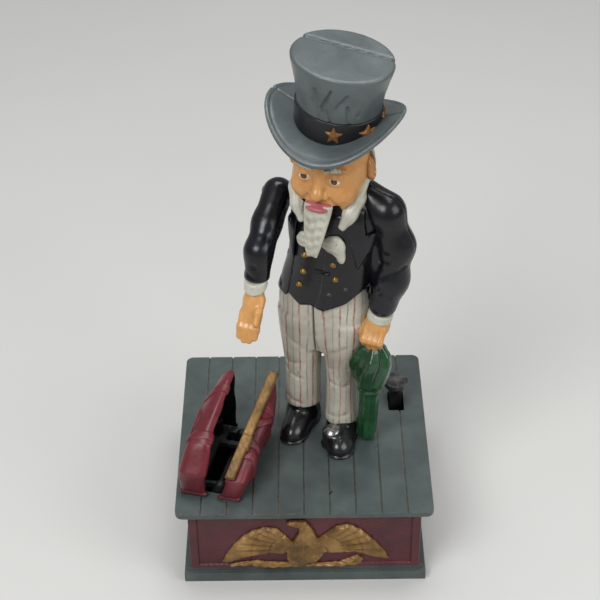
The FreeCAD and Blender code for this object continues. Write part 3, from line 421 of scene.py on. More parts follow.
def leg_coords(n, centre_x, centre_y):
    """Angle about a leg's upright axis, turned into the figure's own directions."""
    move = n.add("ShaderNodeMapping", vector_type="TEXTURE")
    spot = HEART + centre_x * LEFT + centre_y * BACK
    move.inputs["Location"].default_value = (spot[0] / 1000, spot[1] / 1000, 0)
    move.inputs["Rotation"].default_value = (0, 0, math.atan2(LEFT[1], LEFT[0]))
    n.link(n.where, move.inputs["Vector"])
    split = n.add("ShaderNodeSeparateXYZ")
    n.link(move.outputs[0], split.inputs[0])
    return split.outputs


def stripes(centre_x, centre_y):
    def overlay(n, colour):
        x, y, _ = leg_coords(n, centre_x, centre_y)
        turn = n.sum("ARCTAN2", x, y)
        wobble = n.sum("MULTIPLY", n.sum("SUBTRACT", n.noise(70.0, 3.0), 0.5), 0.22)
        turn = n.sum("ADD", turn, wobble)
        phase = n.sum("FRACT", n.sum("ADD", n.sum("MULTIPLY", turn, 9 / math.tau), 20.0))
        red = n.sum("MULTIPLY", n.step(phase, 0.08, 0.13), n.step(phase, 0.25, 0.2))
        grey = n.sum("MULTIPLY", n.step(phase, 0.58, 0.63), n.step(phase, 0.72, 0.67))
        torn = n.span(n.noise(110.0, 6.0, 0.7), 0.36, 0.6, 0.15, 0.95)
        colour = n.mix(n.sum("MULTIPLY", red, torn), colour, srgb(150, 60, 70))
        return n.mix(n.sum("MULTIPLY", grey, torn), colour, srgb(128, 124, 120))
    return overlay


SLATE = finish("slate enamel", srgb(58, 66, 66), srgb(71, 81, 80), srgb(84, 94, 92), srgb(122, 118, 108),
               rough=(0.36, 0.55), chips=0.745, crisp=0.0011)
MAROON = finish("maroon enamel", srgb(58, 18, 26), srgb(78, 24, 33), srgb(98, 33, 43), srgb(84, 70, 66),
                chips=0.73, crisp=0.0009)
CRIMSON = finish("crimson enamel", srgb(98, 30, 42), srgb(120, 38, 51), srgb(142, 52, 65), srgb(74, 60, 58),
                 chips=0.725, crisp=0.0008)
CAST_CRIMSON = finish("crimson cast enamel", srgb(74, 20, 28), srgb(98, 27, 37), srgb(120, 39, 49),
                      srgb(70, 56, 54), chips=0.725, edge=(0.535, 0.6), worn_metal=0.3)
GILT = finish("worn gilding", srgb(84, 60, 30), srgb(132, 98, 50), srgb(170, 134, 80), srgb(92, 42, 40),
              rough=(0.36, 0.52), metal=0.25, chips=0.66, edge=(0.56, 0.7), patch=90.0)
HAT = finish("blue grey enamel", srgb(66, 74, 76), srgb(82, 90, 91), srgb(97, 106, 106), srgb(142, 140, 132),
             rough=(0.3, 0.5), chips=0.7, coat=0.15)
FELT = finish("band black enamel", srgb(10, 11, 12), srgb(18, 19, 22), srgb(30, 32, 36), srgb(96, 98, 98),
              chips=0.7)
STAR = finish("copper gilding", srgb(104, 70, 40), srgb(150, 106, 62), srgb(186, 146, 92), srgb(70, 60, 54),
              metal=0.5, chips=0.68, edge=(0.6, 0.75))
SKIN = finish("flesh enamel", srgb(176, 118, 62), srgb(205, 148, 84), srgb(220, 168, 104), srgb(122, 98, 74),
              rough=(0.3, 0.46), chips=0.72, coat=0.2, edge=(0.6, 0.75))
WHITE = finish("off white enamel", srgb(158, 156, 140), srgb(192, 191, 177), srgb(212, 211, 198),
               srgb(104, 100, 92), rough=(0.32, 0.5), chips=0.67, edge=(0.58, 0.7))
LIP = finish("rose enamel", srgb(150, 76, 84), srgb(178, 100, 108), srgb(196, 126, 130), srgb(112, 92, 84),
             chips=0.74, edge=(0.62, 0.8))
EYE = finish("eye white", srgb(196, 190, 172), srgb(222, 218, 204), srgb(232, 229, 218), srgb(150, 140, 126),
             rough=(0.15, 0.28), chips=0.8, coat=0.4, edge=(0.7, 0.9))
IRIS = finish("brown iris", srgb(28, 18, 12), srgb(52, 34, 22), srgb(74, 50, 34), srgb(90, 76, 60),
              rough=(0.12, 0.24), chips=0.85, coat=0.5, edge=(0.8, 0.95))
COAT = finish("navy black enamel", srgb(4, 5, 9), srgb(9, 10, 17), srgb(18, 21, 32), srgb(104, 104, 102),
              rough=(0.2, 0.4), chips=0.715, coat=0.1, edge=(0.55, 0.63), shine_level=0.4)
SHOE = finish("shoe black", srgb(10, 10, 12), srgb(17, 18, 20), srgb(30, 31, 34), srgb(140, 140, 138),
              rough=(0.18, 0.34), chips=0.68, coat=0.3, edge=(0.53, 0.6), worn_metal=0.8)
GREEN = finish("bottle green enamel", srgb(12, 46, 24), srgb(22, 72, 36), srgb(40, 100, 54), srgb(86, 84, 70),
               rough=(0.2, 0.36), chips=0.7, coat=0.3)
PIT = finish("inside black", srgb(10, 9, 9), srgb(18, 16, 16), srgb(28, 25, 24), srgb(62, 54, 48), chips=0.7,
             rough=(0.5, 0.7))
NICKEL = finish("bright steel", srgb(120, 120, 118), srgb(160, 160, 157), srgb(186, 186, 182),
                srgb(88, 78, 66), rough=(0.22, 0.4), metal=0.95, chips=0.68, edge=(0.8, 0.95), patch=120.0)
BARE = finish("raw iron", srgb(44, 40, 38), srgb(70, 66, 62), srgb(98, 92, 86), srgb(112, 72, 48),
              rough=(0.4, 0.65), metal=0.75, chips=0.6, edge=(0.7, 0.9))
BLACK = finish("black iron", srgb(18, 19, 20), srgb(30, 32, 33), srgb(46, 48, 49), srgb(108, 106, 102),
               rough=(0.3, 0.5), chips=0.68)
BRASS = finish("button brass", srgb(112, 84, 42), srgb(160, 126, 66), srgb(196, 164, 98), srgb(70, 58, 46),
               metal=0.7, chips=0.72, edge=(0.7, 0.9))
GUNMETAL = finish("button grey", srgb(40, 42, 44), srgb(62, 66, 70), srgb(88, 92, 96), srgb(130, 128, 122),
                  metal=0.4, chips=0.74, edge=(0.7, 0.9))


def dress(obj, material, body="base", stands_for=()):
    obj.data.materials.clear()
    obj.data.materials.append(material)
    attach(obj, body)
    if stands_for:
        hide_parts(*stands_for)
    return obj


def blacken_inside(obj, inner):
    """The second finish goes on the faces for which inner() holds."""
    obj.data.materials.append(PIT)
    obj.data.polygons.foreach_set("material_index", inner(*LOCAL[obj.name].T).astype(np.int32))


# ---------------------------------------------------------------- the man: legs, shoes

TORSO = [(108, .5, 21, 11, 9), (116.5, .5, 22.5, 13, 10), (126, .5, 23.5, 14, 11), (138, 1, 24, 14.5, 12),
         (150, 2.5, 22, 14.2, 12), (162, 4.5, 21, 14, 12.5), (174, 6.2, 21.2, 14, 13),
         (186, 7.3, 22, 13.5, 13), (197, 8, 22, 12.5, 12.5), (204, 7.5, 16, 10, 10.5), (209, 6.5, 12, 9, 10)]
RIGHT_LEG = [(67, -10.6, 10.2, 12, 7), (76, -10.2, 9.4, 12.5, 6.5),
             (90, -9.7, 9.2, 13, 6.5), (100, -10.2, 10, 13.2, 7.5), (112, -10.6, 11.4, 13.2, 9),
             (128, -10.5, 12.6, 13, 10)]
LEFT_LEG = [(61.5, 12, 9.0, 12.6, 6.3), (66, 12, 8.6, 12.6, 6.2), (76, 11.6, 7.8, 12, 6.5),
            (90, 11.5, 7.8, 12, 7), (102, 11.8, 9.2, 12.4, 8), (112, 12, 10.8, 12.8, 9),
            (128, 11.8, 12.2, 13, 10)]


def torso(x, y, z):
    return stack(x, y, z, TORSO, 4.0, 2.5)


def folds(x, y, z, spots):
    """Creases: each is (point a, point b, depth, width)."""
    out = 0
    for a, b, deep, wide in spots:
        out = out + deep * np.exp(-((np.maximum(limb(x, y, z, a, b, 0, 0), 0) / wide) ** 2))
    return out


SCREW_WELLS = ((17.0, 165.0), (9.0, 127.0))


def wells(d, x, y, z):
    """Counterbores for the two screws that hold the castings together."""
    for wx, wz in SCREW_WELLS:
        d = smax(d, -np.maximum(np.sqrt((x - wx) ** 2 + (z - wz) ** 2) - 3.7, 9.2 - y), 0.4)
    return d


def right_trouser(x, y, z):
    d = stack(x, y, z, RIGHT_LEG, 4.0, 1.2)
    d = smin(d, smax(torso(x, y, z), np.maximum(z - 150, x - 0.2), 1.0), 3.0)
    d = smax(d, x - 0.1, 1.2)
    d = d + folds(x, y, z, [((-17, -9, 92), (-6, -14, 88), 0.8, 1.3),
                            ((-16, -11, 98), (-5, -14, 100), 0.6, 1.2),
                            ((-16, -10, 73), (-6, -13, 70), 0.7, 1.2),
                            ((-15, -11, 116), (-4, -14, 108), 0.6, 1.4)])
    return parting(d, y)


def left_trouser(x, y, z):
    d = stack(x, y, z, LEFT_LEG, 4.0, 1.2)
    d = smin(d, smax(torso(x, y, z), np.maximum(z - 150, 0.2 - x), 1.0), 3.0)
    d = smax(d, 0.1 - x, 1.2)
    d = d + folds(x, y, z, [((6, -12, 91), (17, -9, 88), 0.8, 1.3), ((6, -12, 99), (17, -9, 101), 0.6, 1.2),
                            ((6, -12, 67), (17, -10, 69), 0.7, 1.2),
                            ((5, -13, 107), (16, -11, 115), 0.6, 1.4)])
    return parting(wells(d, x, y, z), y)


def trouser_paint(name, x):
    return finish(name, srgb(150, 145, 130), srgb(186, 182, 168), srgb(206, 203, 190), srgb(82, 74, 66),
                  chips=0.665, overlay=stripes(x, -2.5))


dress(skin_of("trouser_right", right_trouser, (-27, -19, 55), (3, 15, 152), 0.6),
      trouser_paint("striped cloth right", -10.3))
dress(skin_of("trouser_left", left_trouser, (-2, -19, 55), (28, 15, 152), 0.6),
      trouser_paint("striped cloth left", 11.8))


def right_shoe(x, y, z):
    d = egg(x, y, z, (-10.4, -7.5, 56), (7.6, 17.6, 8.2), (0, 0, 3))
    d = smin(d, egg(x, y, z, (-10.6, 0, 57), (8.2, 9, 8), (0, 0, 0)), 4)
    d = smin(d, egg(x, y, z, (-9.9, -18.5, 54.6), (6.6, 7.2, 5.4)), 3)
    d = smin(d, limb(x, y, z, (-10.6, -2.2, 56), (-10.5, -2.8, 66), 8.2, 8.0), 3)
    sole = np.exp(-(((z - DECK - 2.2) / 0.5) ** 2)) * 0.55
    welt = smax(d - 0.7, z - DECK - 1.9, 0.5)
    d = smin(d + sole, welt, 0.4)
    d = smax(d, DECK + 0.1 - z, 0.3)
    return parting(d, y)


def left_shoe(x, y, z):
    d = egg(x, y, z, (14.8, -9, 56), (7.6, 18.0, 8.0), (0, 0, 9))
    d = smin(d, egg(x, y, z, (12.4, -0.5, 57), (8, 9, 8)), 4)
    d = smin(d, egg(x, y, z, (17.8, -20.0, 54.6), (6.4, 7.0, 5.4), (0, 0, 9)), 3)
    d = smin(d, limb(x, y, z, (12, -2.6, 56), (12, -3.0, 60), 8.0, 7.8), 3)
    boss = smax(np.sqrt((x - 12) ** 2 + (y + 16.5) ** 2) - 5.7, z - 61.9, 1.0)
    d = smin(d, smax(boss, DECK - z, 0.5), 1.6)
    sole = np.exp(-(((z - DECK - 2.2) / 0.5) ** 2)) * 0.55
    welt = smax(d - 0.7, z - DECK - 1.9, 0.5)
    d = smin(d + sole, welt, 0.4)
    d = smax(d, DECK + 0.1 - z, 0.3)
    return parting(d, y)


dress(skin_of("shoe_right", right_shoe, (-21, -28, 48), (1, 12, 76), 0.5), SHOE)
dress(skin_of("shoe_left", left_shoe, (2, -30, 48), (27, 12, 70), 0.5), SHOE)

# ---------------------------------------------------------------- the man: coat, vest, sleeves

TAILS = [(94, -1, 17.5, -1, 10), (104, -.5, 20, -1, 10.5), (116, 0, 22.8, -1, 11.5), (128, .5, 25, 2, 12.8),
         (141, 1, 25.6, 6, 13.6), (150, 2.2, 23.6, 6, 13.5)]
OPENING = [(-16.5, 138), (-14, 144), (-12.6, 152), (-11, 165), (-10, 180), (-7, 202), (-4, 212), (8, 212),
           (12, 204), (15, 196), (18.5, 186), (21, 176), (22.2, 166), (22.8, 158), (24.2, 150), (26.5, 144),
           (29, 138), (6, 134)]
VEST_EDGE = [(-19, 146), (-15, 143.6), (-7, 139), (-1.5, 141), (6, 139), (17, 144.5), (25, 152), (26.5, 162),
             (24, 178), (17, 196), (12, 204), (-7, 204), (-12, 176), (-18, 156)]
LEFT_LAPEL = [(22.3, 166), (27.5, 176), (33, 188.5), (26.5, 187), (25, 200), (17, 204), (12.5, 204),
              (15, 196), (18.5, 186), (21.0, 176)]
RIGHT_LAPEL = [(-11, 166), (-14.6, 176), (-17.5, 187), (-13.5, 186), (-13, 199), (-8, 204), (-6.8, 202),
               (-9.6, 182)]


def coat(x, y, z):
    shape = torso(x, y, z) - 1.4
    tails = smax(stack(x, y, z, TAILS, 3.0, 1.2), 1.0 - y + 0.06 * np.maximum(141 - z, 0), 1.0)
    slit = np.maximum(np.abs(x - 0.5) - 0.5, np.maximum(z - 122, 6 - y))
    tails = smax(tails, -slit, 0.5)
    swell = 0.5 * np.cos(x * 0.55) * np.clip((140 - z) / 30, 0, 1)
    shape = smax(shape, 141.0 - z, 1.0)
    d = smin(shape, tails + swell, 2.0)
    gap = np.maximum(outline(x, z, OPENING), y - 0.5)
    d = smax(d, -gap, 0.8)
    d = smax(d, np.where(z > 163, -15.9 - x, -99), 0.3)
    d = d + folds(x, y, z, [((-21, 2, 150), (-19, -8, 145), 0.7, 1.4),
                            ((26, -2, 152), (22, -12, 147), 0.6, 1.3),
                            ((-14, 12, 165), (20, 12, 168), 0.4, 2.0),
                            ((0.5, 14, 200), (0.5, 14, 124), 0.5, 0.6)])
    return parting(wells(d, x, y, z), y)


def vest(x, y, z):
    d = smax(torso(x, y, z) - 0.9, np.maximum(outline(x, z, VEST_EDGE), y - 3), 0.9)
    flap = outline(x, z, [(1.5, 139), (4.4, 150), (6, 164), (8, 180), (4, 197), (30, 197), (30, 139)])
    lift = smax(torso(x, y, z) - 1.6, np.maximum(np.maximum(outline(x, z, VEST_EDGE) + 0.2, flap), y - 3),
                0.8)
    d = smin(d, lift, 0.3)
    pocket = brick(x, 0 * y, z, (5.2, 0, 163.2), (4.2, 5, 0.35), 0.2, (0, -4, 0))
    d = d + np.where(y < 0, 0.6 * np.exp(-((np.maximum(pocket, 0) / 0.4) ** 2)), 0)
    return d


def lapels(x, y, z):
    edge = np.minimum(outline(x, z, LEFT_LAPEL), outline(x, z, RIGHT_LAPEL))
    shape = torso(x, y, z) - 3.0
    d = smax(shape, np.maximum(edge, y - 0.8), 0.9)
    return smax(d, -15.9 - x, 0.3)


def left_sleeve(x, y, z):
    d = chain(x, y, z, [(33.4, -.5, 195.5, 8.6), (39.0, .5, 178, 7.7), (37.3, -1, 158, 7.4),
                        (33.4, -3, 143, 7.2)], 6)
    d = smin(d, limb(x, y, z, (12, 3.5, 206), (32.6, 0.5, 197.5), 7.6, 8.4), 5)
    d = smin(d, limb(x, y, z, (27, 1, 190), (29.5, 0.5, 154), 6.5, 4.6), 3)
    tip = (x - 32.3) * 0.24 + (z - 137.5) * -0.97
    d = smax(d, tip, 0.8)
    d = d + folds(x, y, z, [((44, -4, 170), (34, -9, 163), 0.9, 1.3),
                            ((44, -2, 163), (33, -8, 156), 0.8, 1.2),
                            ((43, -3, 183), (36, -8, 176), 0.6, 1.4),
                            ((28, -6, 190), (27, -3, 175), 0.9, 1.0)])
    return parting(d, y)


def left_cuff(x, y, z):
    d = limb(x, y, z, (33.2, -3, 141), (32.0, -3.2, 134.5), 6.3, 6.5)
    axis = (x - 32.3) * 0.2 + (z - 136) * 0.98
    d = smax(d, np.abs(axis) - 2.6, 0.7)
    return parting(d, y)


def left_hand(x, y, z):
    d = egg(x, y, z, (31.2, -3.5, 129.5), (6.4, 6.4, 7.4), (0, 8, 0))
    for fx, drop in ((26.4, 120.6), (29.2, 118.8), (32.0, 118.8), (34.7, 120.6)):
        finger = chain(x, y, z, [(fx + 0.6, -7.2, 129.5, 1.9), (fx, -11.2, 124, 1.8),
                                 (fx - 0.3, -9.6, drop, 1.6)], 1.5)
        d = smin(d, finger, 0.8)
    thumb = chain(x, y, z, [(26.7, -3, 131, 2.3), (24.1, -6, 125.5, 2.0), (24.8, -8.2, 121.5, 1.7)], 2)
    return parting(smin(d, thumb, 1.2), y)


dress(skin_of("tail_coat", coat, (-28, -19, 92), (34, 17, 212), 0.6), COAT, "base",
      ("figure_front", "figure_rear"))
dress(skin_of("waistcoat", vest, (-22, -19, 137), (29, 5, 206), 0.5), COAT)
dress(skin_of("coat_lapels", lapels, (-19, -19, 163), (36, 3, 207), 0.5), COAT)
dress(skin_of("left_sleeve", left_sleeve, (17, -14, 130), (50, 14, 210), 0.6), COAT)
dress(skin_of("left_cuff", left_cuff, (22, -12, 130), (42, 6, 143), 0.5), WHITE)
dress(skin_of("left_hand", left_hand, (20, -15, 114), (40, 5, 139), 0.45), SKIN)


def right_sleeve(x, y, z):
    d = chain(x, y, z, [(-23.4, 0, 194, 7.9), (-23.4, -14, 185, 7.1), (-23.2, -25.5, 176, 6.7),
                        (-23.4, -29.5, 162, 6.3)], 5)
    d = smax(d, x + 16.95, 0.6)
    d = smax(d, (y + 29.8) * -0.2 + (162.4 - z) * 0.98, 0.7)
    return d + folds(x, y, z, [((-30, -24, 173), (-23, -33, 172), 0.9, 1.3),
                               ((-30, -20, 168), (-23, -22, 167), 0.9, 1.2),
                               ((-30, -10, 183), (-26, -16, 176), 0.6, 1.3),
                               ((-30, -28, 168), (-23, -36, 166), 0.6, 1.2)])


def right_cuff(x, y, z):
    d = limb(x, y, z, (-23.4, -29.4, 165), (-23.4, -31.3, 156), 5.6, 5.9)
    axis = (y + 30.2) * -0.24 + (z - 160.6) * 0.97
    d = smax(d, np.abs(axis) - 2.5, 0.7)
    return smax(d, x + 16.95, 0.5)


def right_hand(x, y, z):
    d = egg(x, y, z, (-23.4, -34.2, 150.5), (5.6, 4.2, 10.2), (-28, 0, 0))
    for fx, reach in ((-27.6, 1.5), (-24.9, 0), (-22.2, 0.2), (-19.6, 2.0)):
        finger = chain(x, y, z, [(fx, -37, 146, 2.1), (fx, -41.4, 139.5, 1.9),
                                 (fx, -44.0 + reach * 0.4, 133.8 + reach, 1.7)], 1.5)
        d = smin(d, finger, 1.1)
    thumb = chain(x, y, z, [(-19.8, -33, 152, 2.3), (-19.0, -38.6, 148.5, 2.0),
                            (-19.0, -42.4, 144.2, 1.7)], 1.6)
    return smax(smin(d, thumb, 1.0), x + 16.95, 0.4)


dress(skin_of("right_sleeve", right_sleeve, (-34, -40, 150), (-15, 12, 206), 0.55), COAT,
      "arm",
      ("right_arm",))
dress(skin_of("right_cuff", right_cuff, (-32, -40, 152), (-15, -21, 168), 0.5), WHITE, "arm")
dress(skin_of("right_hand", right_hand, (-33, -48, 129), (-15, -25, 164), 0.45), SKIN, "arm")


def torso_front(x, z, lift):
    """The y of the waistcoat's face at one spot."""
    ys = np.linspace(-20, 0, 201)
    d = torso(np.float64(x), ys, np.array(float(z))) - lift
    return float(ys[np.argmax(d < 0)])


def button(name, x, z, r, material):
    front = torso_front(x, z, 1.3)

    def field(px, py, pz):
        dome = egg(px, py, pz, (x, front + 0.2, z), (r, 1.5, r))
        ring = np.sqrt((px - x) ** 2 + (pz - z) ** 2) - r * 0.62
        return dome + 0.25 * np.exp(-((ring / 0.3) ** 2))
    r_out = r + 1
    dress(skin_of(name, field, (x - r_out, front - 2.6, z - r_out), (x + r_out, front + 2.6, z + r_out),
                  0.25),
          material)


for i, (bx, bz) in enumerate(((-4.9, 160.4), (-7.1, 151.8), (10.9, 168.9), (12, 160.0), (-4.3, 170.4))):
    button(f"brass_button_{i}", bx, bz, 1.75, BRASS)
for i, (bx, bz) in enumerate(((8.9, 150.2), (16.8, 153.9))):
    button(f"grey_button_{i}", bx, bz, 1.7, GUNMETAL)

# ---------------------------------------------------------------- the man: head

HX, HY = 5.5, -2.0


def skull(x, y, z):
    d = egg(x, y, z, (HX, HY, 221), (18.6, 18.0, 23))
    return smin(d, egg(x, y, z, (HX, HY - 2.5, 206.5), (14.2, 13.6, 11)), 7)


def mouth_box(x, y, z):
    return brick(x, y, z, (HX, -19, 201.6), (9.3, 12.0, 4.4), 0.6)


def face(x, y, z):
    d = skull(x, y, z)
    for side in (-1, 1):
        d = smin(d, egg(x, y, z, (HX + side * 9.6, -13.4, 212.5), (6.2, 5.4, 6.2)), 5)
        d = smin(d, egg(x, y, z, (HX + side * 7.6, -18.0, 227.2), (6.2, 2.2, 1.9), (0, side * 8, 0)), 3)
        d = smax(d, -egg(x, y, z, (HX + side * 7.6, -21.6, 221.2), (4.8, 3.6, 3.4)), 2.4)
    nose = limb(x, y, z, (HX, -18.2, 224.5), (HX, -22.4, 214.2), 1.7, 2.7)
    nose = smin(nose, ball(x, y, z, (HX, -22.4, 213.4), 3.0), 1.5)
    for side in (-1, 1):
        nose = smin(nose, ball(x, y, z, (HX + side * 3.0, -19.8, 212.2), 2.1), 1.2)
    d = smin(d, nose, 2.2)
    for side in (-1, 1):
        d = smax(d, -ball(x, y, z, (HX + side * 1.7, -22.4, 210.6), 0.75), 0.6)
        lid = ball(x, y, z, (HX + side * 7.6, -15.6, 221.0), 4.75)
        slot = egg(x, y, z, (HX + side * 7.6, -20.4, 220.6), (3.6, 3.4, 1.35))
        d = smin(d, smax(lid, -slot, 0.5), 1.0)
    d = smin(d, egg(x, y, z, (HX, -16.9, 207.2), (6.5, 2.9, 2.6)), 2.0)
    philtrum = limb(x, y, z, (HX, -20.6, 210.2), (HX, -20.2, 207.6), 0.3, 0.3)
    d = d + 0.5 * np.exp(-((np.maximum(philtrum, 0) / 0.9) ** 2))
    for side in (-1, 1):
        fold = limb(x, y, z, (HX + side * 4.2, -20, 212.5), (HX + side * 8.6, -17.4, 206.0), 0.2, 0.2)
        d = d + 0.45 * np.exp(-((np.maximum(fold, 0) / 0.9) ** 2))
    d = smax(d, -mouth_box(x, y, z), 0.5)
    d = parting(d, y)
    neck_bore = np.maximum(np.sqrt((x - 5) ** 2 + (y + 3.5) ** 2) - 9.3, z - 206)
    d = smax(d, -np.minimum(skull(x, y, z) + 3.6, neck_bore), 0.4)
    return smax(d, 198 - z, 0.5)


def ear(side):
    def field(x, y, z):
        c = (HX + side * 18.8, 0.2, 219.5)
        d = egg(x, y, z, c, (2.5, 4.6, 6.8), (12, side * -8, side * 18))
        dip = egg(x, y, z, (c[0] + side * 2.2, c[1] - 0.7, c[2] + 0.6), (1.5, 2.6, 4.2), (12, 0, side * 18))
        return smax(d, -dip, 1.0)
    return field


def eye(side):
    def field(x, y, z):
        return ball(x, y, z, (HX + side * 7.6, -15.6, 220.9), 4.15)
    return field


def iris(side):
    def field(x, y, z):
        c = (HX + side * 7.6, -15.6, 220.9)
        around = np.sqrt((x - c[0]) ** 2 + (z - c[2] + 0.1) ** 2) - 1.7
        return smax(ball(x, y, z, c, 4.3), np.maximum(around, y - c[1]), 0.25)
    return field


def brow(side):
    def field(x, y, z):
        points = [(HX + side * 3.4, -20.7, 226.0, 0.8), (HX + side * 7.4, -20.7, 227.8, 1.1),
                  (HX + side * 12.2, -18.2, 226.8, 0.8)]
        return chain(x, y, z, points, 1.5) + 0.18 * np.sin(x * 4.2 + z * 2.1)
    return field


def hair(x, y, z):
    d = skull(x, y, z) - 2.2
    back = smax(d, np.maximum(2.0 - y + np.maximum(0, 219 - z) * 0.1, 199 - z), 1.0)
    d = back
    d = smax(d, z - 243.5, 0.8)
    strands = 0.45 * np.sin(3.6 * (x - HX) * 0.5 + 5 * np.sin(z * 0.11) + y * 1.1)
    return parting(d + strands * 0.8, y)


def whiskers(x, y, z):
    d = None
    for side in (-1, 1):
        run = chain(x, y, z, [(HX + side * 17.6, -3.0, 214, 1.8), (HX + side * 15.8, -8.6, 206, 2.6),
                              (HX + side * 13.0, -12.4, 199.5, 3.0),
                              (HX + side * 10.6, -15.0, 193.5, 2.2)], 5)
        d = run if d is None else np.minimum(d, run)
    strands = 0.14 * np.sin(2.4 * np.abs(x - HX) - z * 0.9 + 0.5 * np.sin(z * 0.5))
    d = d + strands
    d = smax(d, -brick(x, y, z, (-9.6, -6.95, 195), (2.2, 4.0, 9.5), 0.5), 0.4)
    return smax(d, -(mouth_box(x, y, z) - 0.5), 0.6)


def collar(x, y, z):
    ring = stack(x, y, z, [(193, 6.6, 15.4, 13.6, 10.5), (199, 6.2, 15.4, 14.4, 11.4),
                           (205, 5.8, 15.2, 14.2, 12)],
                 2.0, 1.0)
    notch = np.abs(x - 6) - np.maximum(z - 192, 0) * 0.5
    ring = smax(ring, -np.maximum(notch, y + 5), 0.8)
    ring = smax(ring, -(mouth_box(x, y, z) - 0.6), 0.5)
    ring = smax(ring, -6.8 - x, 0.4)
    ring = smax(ring, 11.2 - np.sqrt((x - 5.8) ** 2 + (y + 1) ** 2), 0.4)
    return parting(ring, y)


def bow(x, y, z):
    knot = egg(x, y, z, (2.6, -15.8, 181.5), (3.2, 2.4, 3.4))
    left = smin(egg(x, y, z, (11.4, -15.6, 181.6), (6.2, 2.2, 4.8), (0, -8, 0)),
                egg(x, y, z, (14.4, -15.3, 179.0), (2.9, 2.1, 7.8), (0, -12, 0)), 2.0)
    right = egg(x, y, z, (-3.4, -15.4, 181.4), (4.2, 2.0, 4.6), (0, 12, 0))
    pleat = 0.4 * np.sin(z * 1.9 + x * 0.25) * np.clip(1 - np.abs(x - 3) / 14, 0, 1)
    d = smin(smin(left, right, 1.0) + pleat, knot, 0.6)
    return smax(d, outline(x, z, [(2.6, 184.6), (15, 189.5), (18.4, 184), (17.6, 171.6), (13, 170.5),
                                  (2.6, 178.5),
                                  (-6.0, 176), (-8, 181), (-6.0, 186.4)]) - 0.6, 0.8)


def beard(x, y, z):
    d = stack(x, y, z, [(179.5, 4.4, 2.4, 27.2, -25.0), (184.5, 4.6, 3.9, 27.2, -24.0),
                        (194, 5.0, 5.6, 25.8, -21.0), (203, 5.4, 7.0, 24.2, -17.2),
                        (207.2, 5.5, 7.2, 22.6, -15.8)], 2.5, 1.2)
    half = np.interp(z, [179.5, 207], [2.4, 7.3])
    middle = np.interp(z, [179.5, 207], [4.4, 5.5])
    keep = np.clip((half - np.abs(x - middle)) / 1.4, 0, 1) * np.clip((205 - z) / 3, 0, 1)
    wave = np.sin(z * 1.3 + 1.1 * np.sin(x * 0.6)) * 0.4
    strand = np.sin(x * 1.7 + 1.2 * np.sin(z * 0.5)) * 0.16
    return d + (wave + strand + 0.25) * keep


def lower_lip(x, y, z):
    d = egg(x, y, z, (HX, -22.4, 205.6), (5.6, 2.2, 1.5))
    inner = egg(x, y, z, (HX, -20.0, 207.0), (6.8, 2.0, 0.9))
    return smin(d, inner, 0.8)


def upper_lip(x, y, z):
    d = egg(x, y, z, (HX, -18.6, 206.9), (5.4, 2.0, 1.05))
    dip = ball(x, y, z, (HX, -20.4, 208.5), 0.8)
    return smax(smax(d, -dip, 0.8), 206.1 - z, 0.3)


def mouth_back(x, y, z):
    return smax(mouth_box(x, y, z) - 0.25, np.abs(y + 7.2) - 0.7, 0.2)


head = dress(skin_of("face", face, (-17, -28, 192), (28, 20, 246), 0.45), SKIN)
blacken_inside(head, lambda x, y, z: (mouth_box(x, y, z) < 0.35) & (y > -19.2))
for side, tag in ((-1, "right"), (1, "left")):
    c = HX + side * 19
    dress(skin_of(f"ear_{tag}", ear(side), (c - 5, -7, 210), (c + 5, 8, 229), 0.4), SKIN)
    c = HX + side * 7.6
    dress(skin_of(f"eye_{tag}", eye(side), (c - 5, -21, 216), (c + 5, -10, 226), 0.35), EYE)
    dress(skin_of(f"iris_{tag}", iris(side), (c - 3, -21, 218), (c + 3, -12, 224), 0.25), IRIS)
    dress(skin_of(f"brow_{tag}", brow(side), (c - 8, -23, 223), (c + 8, -12, 232), 0.3), WHITE)
dress(skin_of("hair", hair, (-19, -13, 196), (30, 22, 245), 0.5), WHITE)
dress(skin_of("whiskers", whiskers, (-18, -20, 190), (29, 0, 226), 0.45), WHITE)
dress(skin_of("shirt_collar", collar, (-12, -18, 191), (24, 14, 207), 0.45), WHITE)
dress(skin_of("bow_tie", bow, (-12, -21, 168), (25, -11, 196), 0.4), WHITE)
dress(skin_of("beard", beard, (-5, -29, 177), (16, -13, 210), 0.4), WHITE, "jaw",
      ("jaw_beard",))
dress(skin_of("lower_lip", lower_lip, (-3, -26, 202), (14, -16, 210), 0.3), LIP, "jaw")
dress(skin_of("upper_lip", upper_lip, (-2, -22, 204), (13, -14, 210), 0.3), LIP)
dress(skin_of("mouth_back", mouth_back, (-6, -9, 195), (17, -5, 208), 0.5), PIT)

# ---------------------------------------------------------------- the man: hat

TILT_AT = (9, -3, 245)
TILT = (5.0, 5.5)
hat_turn = (Matrix.Rotation(math.radians(TILT[1]), 3, "Y") @ Matrix.Rotation(math.radians(TILT[0]), 3, "X"))
HAT_TURN = np.array(hat_turn)


def hat_coords(x, y, z):
    d = (x - TILT_AT[0], y - TILT_AT[1], z - TILT_AT[2])
    return [sum(HAT_TURN[k, i] * d[k] for k in range(3)) + TILT_AT[i] for i in range(3)]


CROWN = [(240, 20.2, 17.4), (250, 19.8, 17.2), (258, 20.2, 17.4), (266, 21.4, 18.0), (273, 23.0, 18.8),
         (278.5, 24.4, 19.4), (282.2, 24.6, 19.5)]


def crown(x, y, z):
    u, v, w = hat_coords(x, y, z)
    rows = np.array(CROWN)
    hx = np.interp(w, rows[:, 0], rows[:, 1])
    hy = np.interp(w, rows[:, 0], rows[:, 2])
    a, b = (u - 9) / hx, (v + 4) / hy
    k0 = np.sqrt(a * a + b * b) + 1e-6
    k1 = np.sqrt((a / hx) ** 2 + (b / hy) ** 2) + 1e-6
    side = k0 * (k0 - 1) / k1
    return side, u, v, w


